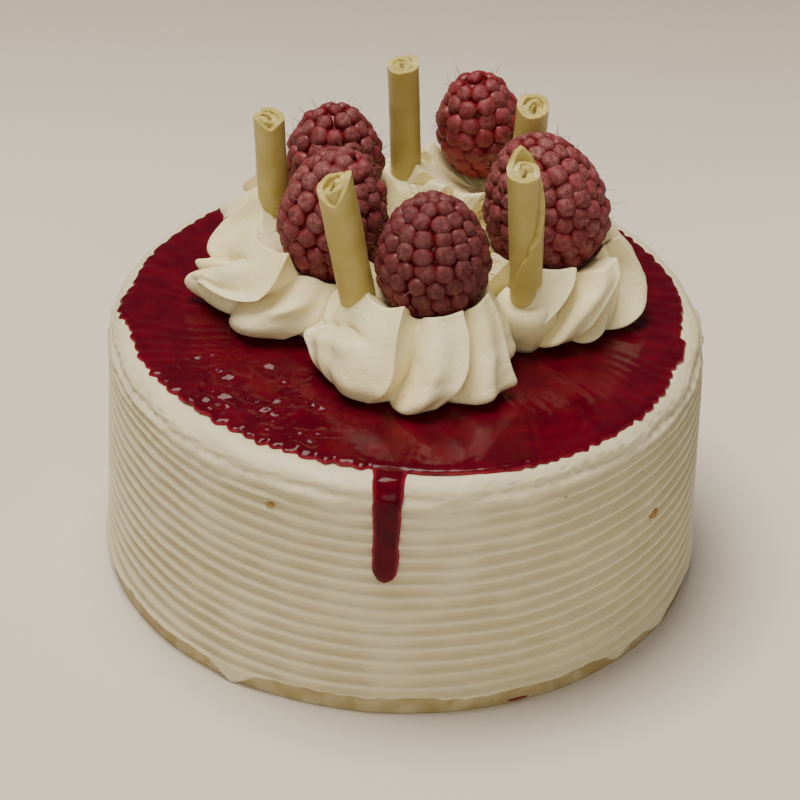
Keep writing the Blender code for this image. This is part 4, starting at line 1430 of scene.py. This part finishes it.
def berry_core(name, berry):
    """Body behind the drupelets, dark red with the painted shade of the gaps."""
    centre, width, length, _ = berry
    turn = berry_turn(berry)
    around = np.linspace(0.0, 2.0 * math.pi, 40, endpoint=False)
    rows = []
    for s in np.linspace(0.03, 0.97, 24):
        r, z = berry_outline(s, width - CORE_SIDE, length - CORE_END)
        ring = np.stack([r * np.cos(around), r * np.sin(around), z + 0.0 * around], -1)
        rows.append(ring @ turn.T + centre)
    ends = [np.array([0.0, 0.0, z]) @ turn.T + centre
            for z in (CORE_END - length, length - CORE_END)]
    mesh = skin_mesh(name, rows, ends[0], ends[1])
    # Height 0 gives the core the painted shade of the gaps, and shade darkens it further.
    for label, value in (("height", 0.0), ("frost_and_light", 0.0), ("tone", 0.3), ("shade", 0.2)):
        point_values(mesh, label, np.full(len(mesh.vertices), value))
    return show(name, mesh, fruit)


def build_berry(name, berry, drupelet, seed, frost_and_light, shade):
    """One raspberry: core, drupelets and hairs joined to one piece."""
    centre = np.array(berry[0])
    turn = berry_turn(berry)
    where, facing, sizes, tones = berry_points(berry[1], berry[2], drupelet, seed)
    share = (where[:, 2] + berry[2]) / (2.0 * berry[2])
    # More frost towards the tip: partly real bloom, partly painted light on the upper side and
    # painted shade on the underside.
    bloom = frost_and_light[0] + (frost_and_light[1] - frost_and_light[0]) * smooth(0.15, 0.75, share)
    bloom = bloom * (0.75 + 0.5 * np.random.RandomState(seed).rand(len(bloom)))
    where, facing = where @ turn.T + centre, facing @ turn.T
    piece = points_object(name + "_fruit", where, facing, sizes, {
        "frost_and_light": bloom, "tone": tones, "shade": np.full(len(where), shade)})
    run_tree(piece, place_beads, {"Seed": seed})
    draw = np.random.RandomState(seed + 50)
    chosen = np.flatnonzero(np.tile(share > 0.25, 3))[::2] % len(where)
    stray = draw.randn(len(chosen), 3)
    lean = facing[chosen] + 0.5 * stray
    lean /= np.linalg.norm(lean, axis=1)[:, None]
    roots = where[chosen] + (facing[chosen] + 0.35 * stray) * sizes[chosen][:, :1] * 0.7
    lengths = np.repeat(draw.uniform(0.9, 2.6, (len(roots), 1)), 3, axis=1)
    fuzz = points_object(name + "_hairs", roots, lean, lengths, {"frost_and_light": np.zeros(len(roots))})
    run_tree(fuzz, place_hairs, {"Seed": seed + 3})
    join(piece, berry_core(name + "_core", berry), fuzz)
    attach(piece, "root")
    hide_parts(name)
    print(name, len(where), "drupelets,", len(piece.data.polygons), "faces")


# %% Build the berries
BERRY_LOOKS = {
    # width of a drupelet, seed, frost and painted light at the foot and at the tip, darkness
    "raspberry_front": (3.8, 11, (0.6, 0.85), 0.42),
    "raspberry_left": (4.0, 12, (0.6, 0.95), 0.20),
    "raspberry_back_left": (3.7, 13, (0.5, 0.8), 0.22),
    "raspberry_back_right": (3.7, 14, (0.05, 0.65), 0.08),
    "raspberry_right": (3.8, 15, (0.7, 1.0), 0.14),
}
for name, looks in BERRY_LOOKS.items():
    build_berry(name, BERRIES[name], *looks)

# %% [markdown]
# ## White chocolate curls
#
# A curl is a thin sheet of white chocolate that a blade scraped up and that rolled
# itself into a scroll. It is a dull, slightly waxy yellow: cocoa butter and milk
# with no brown. Light goes a short way into it. Its ends are broken, not cut.
#
# The shape follows one rule: a flat sheet wound on a spiral. So the sheet is a grid
# made inside Geometry Nodes, and the rule moves each of its points. Solidify then
# gives it the thickness of the sheet, and a small bevel softens its edges.

# %% Chocolate material
def chocolate_material():
    """White chocolate: waxy, pale yellow, with faint scrape marks along the roll, and lighter
    broken ends that partly carry a painted highlight.
    """
    material, tree, shader = principled(
        "white_chocolate", Roughness=0.42, IOR=1.46, Subsurface_Weight=0.25,
        Subsurface_Scale=2.0 * MM, Subsurface_Radius=(1.0, 0.7, 0.3))
    cloud = ease(tree, noise(tree, 6.0, 3.0), 0.35, 0.65)
    colour = tint(tree, cloud, "C0AF67", "B6A457")
    # Painted highlight, partly: the upper and outer ends of the sheet are lighter, as a chalky
    # break and as the top rim catching the lamp.
    colour = tint(tree, read_in_shader(tree, "edge"), colour, "DDD0A0")
    tree.links.new(colour, shader.inputs["Base Color"])
    stretch = add(tree, "ShaderNodeMapping", {"Vector": place(tree), "Scale": (1.0, 1.0, 0.12)})
    scrape = noise(tree, 0.7, 2.0, 0.5, stretch.outputs[0])
    relief(tree, shader, scrape, 0.08, 0.35)
    return material


chocolate = chocolate_material()
print("chocolate:", chocolate.name)

# %% Scroll tree
def tear(tree, at, scale, seed, detail):
    """Rough line along one direction of the sheet, uneven about zero."""
    where = calc(tree, "ADD", product(tree, at, scale), seed)
    line = add(tree, "ShaderNodeTexNoise", {"W": where, "Scale": 1.0, "Detail": detail},
               noise_dimensions="1D").outputs["Fac"]
    return calc(tree, "SUBTRACT", line, 0.5)


def wind(tree, sockets, along, up):
    """Angle of each place of the sheet, and how many turns it lies further in."""
    skew = product(tree, sockets["Skew"], calc(tree, "SUBTRACT", up, 0.5))
    torn = product(tree, tear(tree, up, 7.0, sockets["Seed"], 3.0), 0.10)
    turns = calc(tree, "ADD", sockets["Turns"], calc(tree, "ADD", skew, torn))
    wound = product(tree, along, turns, 2.0 * math.pi)
    start = calc(tree, "SUBTRACT", sockets["Seam Angle"],
                 product(tree, sockets["Turns"], 2.0 * math.pi))
    inward = product(tree, calc(tree, "SUBTRACT", 1.0, along), turns)
    return calc(tree, "ADD", wound, start), inward


def broken_end(tree, sockets, along, angle, inward):
    """How far the upper end stands out: a slant, tears, one spike and a hollow middle."""
    slant = product(tree, sockets["Slant"], calc(
        tree, "COSINE", calc(tree, "SUBTRACT", angle, sockets["Slant Angle"])))
    rough = product(tree, tear(tree, along, 9.0, sockets["Seed"], 4.0), sockets["Ragged"], 4.0)
    gap = calc(tree, "ABSOLUTE", calc(tree, "SUBTRACT", angle, sockets["Spike Angle"]))
    spike = calc(tree, "SUBTRACT", 1.0, calc(tree, "DIVIDE", gap, sockets["Spike Width"]))
    spike = product(tree, calc(tree, "MAXIMUM", spike, 0.0), sockets["Spike"])
    end = calc(tree, "ADD", calc(tree, "ADD", slant, rough), spike)
    return calc(tree, "SUBTRACT", end, product(tree, inward, sockets["Bowl"]))


def scroll_tree():
    """Geometry tree: a sheet wound into a scroll, with broken ends."""
    tree, given, result = new_geometry_tree("wind_a_scroll", {
        "Radius": 4.0 * MM, "Length": 34.0 * MM, "Turns": 2.7, "Spacing": 1.24 * MM,
        "Seam Angle": 0.0, "Slant": 1.0 * MM, "Slant Angle": 0.0, "Ragged": 0.5 * MM,
        "Spike": 0.0, "Spike Angle": 0.0, "Spike Width": 0.5, "Bowl": 0.8 * MM, "Skew": 0.0,
        "Hand": 1.0, "Cut": 0.0, "Seed": 1.0})
    sockets = given.outputs
    grid = add(tree, "GeometryNodeMeshGrid", {"Size X": 1.0, "Size Y": 1.0, "Vertices X": 110,
                                              "Vertices Y": 56})
    position = add(tree, "GeometryNodeInputPosition").outputs[0]
    split = add(tree, "ShaderNodeSeparateXYZ", {0: position}).outputs
    along = calc(tree, "ADD", split[0], 0.5)
    up = calc(tree, "ADD", split[1], 0.5)
    angle, inward = wind(tree, sockets, along, up)
    radius = calc(tree, "SUBTRACT", sockets["Radius"], product(tree, inward, sockets["Spacing"]))
    lumps = add(tree, "ShaderNodeTexNoise", {"Vector": position, "Scale": 3.0, "Detail": 2.0,
                                             "W": sockets["Seed"]}, noise_dimensions="4D")
    lumps = calc(tree, "SUBTRACT", lumps.outputs["Fac"], 0.5)
    radius = calc(tree, "ADD", radius, product(tree, lumps, 0.5 * MM))
    x = product(tree, radius, calc(tree, "COSINE", angle))
    y = product(tree, radius, calc(tree, "SINE", angle), sockets["Hand"])
    upper = calc(tree, "ADD", product(tree, sockets["Length"], 0.5),
                 broken_end(tree, sockets, along, angle, inward))
    cut = product(tree, sockets["Cut"], ease(tree, along, 0.80, 0.81))
    lower = calc(tree, "MULTIPLY_ADD", sockets["Length"], -0.5, cut)
    z = calc(tree, "ADD", lower, product(tree, up, calc(tree, "SUBTRACT", upper, lower)))
    placed = add(tree, "ShaderNodeCombineXYZ", {0: x, 1: y, 2: z}).outputs[0]
    moved = add(tree, "GeometryNodeSetPosition", {"Geometry": grid.outputs[0],
                                                  "Position": placed})
    # Marks the upper and outer ends, which the chocolate paints lighter, partly as a highlight.
    side = calc(tree, "MAXIMUM", ease(tree, up, 0.97, 1.0), ease(tree, along, 0.985, 1.0))
    marked = add(tree, "GeometryNodeStoreNamedAttribute",
                 {"Geometry": moved.outputs[0], "Name": "edge", "Value": side},
                 data_type="FLOAT", domain="POINT")
    even = add(tree, "GeometryNodeSetShadeSmooth", {"Geometry": marked.outputs[0]})
    return end_tree(tree, result, even.outputs[0], chocolate)


scroll = scroll_tree()
print("tree:", scroll.name)

# %% Build the curls
SHEET = 1.26
CURLS = {
    # foot, top, radius, and how this one is wound and broken
    "curl_left": ((-27.2, 14.0, 59.0), (-29.6, 14.0, 95.9), 3.9,
                  {"Slant": 0.5 * MM, "Slant Angle": 3.5, "Seam Angle": 1.9, "Spike": -1.4 * MM,
                   "Spike Angle": -1.4, "Spike Width": 0.9, "Bowl": 0.3 * MM, "Seed": 1.0}),
    "curl_front_left": ((-7.8, -15.6, 60.0), (-15.5, -15.6, 99.3), 4.15,
                        {"Slant": 1.1 * MM, "Slant Angle": 0.4, "Seam Angle": -0.1, "Skew": 0.10,
                         "Spike": -3.8 * MM, "Spike Angle": -1.65, "Spike Width": 1.25,
                         "Bowl": 0.9 * MM, "Seed": 2.0}),
    "curl_back": ((-0.4, 33.0, 60.0), (-2.2, 32.6, 98.4), 3.8,
                  {"Slant": 0.4 * MM, "Slant Angle": 1.6, "Seam Angle": 1.2, "Bowl": 0.15 * MM,
                   "Seed": 3.0}),
    "curl_right": ((23.4, 25.4, 60.0), (25.7, 25.4, 93.8), 4.1,
                   {"Slant": 0.9 * MM, "Slant Angle": 1.5, "Seam Angle": -1.2,
                    "Bowl": 0.7 * MM, "Soft": 0.42, "Seed": 4.0}),
    "curl_front_right": ((24.5, -10.0, 62.0), (23.3, -9.8, 99.2), 4.05,
                         {"Slant": 0.9 * MM, "Slant Angle": -1.8, "Seam Angle": 0.71,
                          "Spike": 2.1 * MM, "Spike Angle": -1.8, "Spike Width": 0.8,
                          "Bowl": 0.3 * MM, "Skew": -0.62, "Hand": -1.0, "Cut": 10.5 * MM,
                          "Seed": 5.0}),
}
for name, (foot, top, radius, settings) in CURLS.items():
    foot, top = Vector(foot), Vector(top)
    piece = show(name + "_roll", bpy.data.meshes.new(name + "_roll"))
    numbers = {"Radius": radius * MM, "Length": (top - foot).length * MM, **settings}
    run_tree(piece, scroll, numbers)
    sheet = piece.modifiers.new("thickness", "SOLIDIFY")
    sheet.thickness = SHEET * MM
    sheet.offset = -settings.get("Hand", 1.0)
    soften = piece.modifiers.new("soft_edges", "BEVEL")
    soften.width = settings.get("Soft", 0.2) * MM
    soften.segments = 3
    soften.angle_limit = math.radians(50.0)
    graph = bpy.context.evaluated_depsgraph_get()
    mesh = bpy.data.meshes.new_from_object(piece.evaluated_get(graph), depsgraph=graph)
    piece.modifiers.clear()
    turn = Vector((0.0, 0.0, 1.0)).rotation_difference(top - foot).to_matrix().to_4x4()
    mesh.transform(Matrix.Translation((foot + top) * 0.5 * MM) @ turn)
    piece.data = mesh
    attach(piece, "root")
    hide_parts(name)
    print(name, len(mesh.polygons), "faces")

# %% [markdown]
# ## Table, light and camera
#
# The cake stands on a plain pale table under a large soft lamp, and a long lens looks
# at it from about 35 degrees up. The table runs on without a corner and rises only
# far away. Its colour is painted darker behind the cake, as painted shade. A broad weak
# light from the front opens the shadows on the side, and a faint even light comes from
# the whole room.

# %% Table
def table_material():
    """Matt paper, faintly uneven, with painted shade that darkens it behind the cake."""
    material, tree, shader = principled("pale_paper", Roughness=0.85)
    cloud = ease(tree, noise(tree, 180.0, 3.0), 0.3, 0.7)
    near = tint(tree, cloud, "DCD5CA", "D9D1C5")
    depth = add(tree, "ShaderNodeSeparateXYZ", {0: place(tree)}).outputs[1]
    # Painted shade: the paper is darkened towards the back, behind the cake.
    far = ease(tree, depth, 0.10, 0.34)
    tree.links.new(tint(tree, far, near, "938168"), shader.inputs["Base Color"])
    return material


FLAT = 2100.0
BEND = 700.0


def table_top():
    """Wide round table top that curves up far away on every side."""
    outline = [(120.0, 0.0), (600.0, 0.0), (1200.0, 0.0), (FLAT, 0.0)]
    outline += [(FLAT + BEND * math.sin(a), BEND - BEND * math.cos(a))
                for a in np.radians(np.linspace(6.0, 70.0, 12))]
    around = np.linspace(0.0, 2.0 * math.pi, 96, endpoint=False)
    rows = [np.stack([r * np.cos(around), r * np.sin(around), z + 0.0 * around], -1)
            for r, z in reversed(outline)]
    return show("table", skin_mesh("table", rows, None, (0.0, 0.0, 0.0)), table_material())


table = table_top()
print("table", round(table.dimensions.x, 2), "m across")

# %% Light
def area_light(name, place_mm, aim_mm, size_mm, watts, colour):
    """Soft rectangular lamp."""
    light = bpy.data.lights.new(name, "AREA")
    light.shape = "RECTANGLE"
    light.size, light.size_y = size_mm[0] * MM, size_mm[1] * MM
    light.energy = watts
    light.color = linear(colour)[:3]
    obj = bpy.data.objects.new(name, light)
    bpy.context.scene.collection.objects.link(obj)
    obj.location = Vector(place_mm) * MM
    obj.rotation_euler = (Vector(aim_mm) - Vector(place_mm)).to_track_quat("-Z", "Y").to_euler()
    print(name, watts, "W")


MIDDLE = (0.0, 0.0, 40.0)
ROOM_LIGHT = 0.19
area_light("overhead", (-260.0, 160.0, 1500.0), MIDDLE, (900.0, 700.0), 33.2, "FFF6E8")
area_light("front_fill", (-60.0, -1450.0, 900.0), MIDDLE, (1200.0, 900.0), 8.8, "FFF4E6")
world = bpy.data.worlds.new("room")
bpy.context.scene.world = world
world.use_nodes = True
background = world.node_tree.nodes["Background"]
background.inputs["Color"].default_value = linear("EEF0F2")
background.inputs["Strength"].default_value = ROOM_LIGHT

# %% Camera
ELEVATION = math.radians(35.2)
ROLL = math.radians(1.49)
AIM_RIGHT = 0.000863
AIM_UP = 0.02373
CAMERA_PLACE = (-1.0, -978.1, 691.7)
LENS = 252.8
SENSOR = 36.0
forward = Vector((0.0, math.cos(ELEVATION), -math.sin(ELEVATION)))
side = Vector((1.0, 0.0, 0.0))
above = side.cross(forward)
right = side * math.cos(ROLL) + above * math.sin(ROLL)
up = above * math.cos(ROLL) - side * math.sin(ROLL)
aim = (forward + right * AIM_RIGHT + up * AIM_UP).normalized()
camera_right = (right - aim * right.dot(aim)).normalized()
camera_up = camera_right.cross(aim)
camera = bpy.data.cameras.new("camera")
camera.lens = LENS
camera.sensor_width = SENSOR
camera_object = bpy.data.objects.new("camera", camera)
bpy.context.scene.collection.objects.link(camera_object)
frame_axes = Matrix((camera_right, camera_up, -aim)).transposed().to_4x4()
camera_object.matrix_world = Matrix.Translation(Vector(CAMERA_PLACE) * MM) @ frame_axes
bpy.context.scene.camera = camera_object
print("camera", round(Vector(CAMERA_PLACE).length), "mm away with a", LENS, "mm lens")
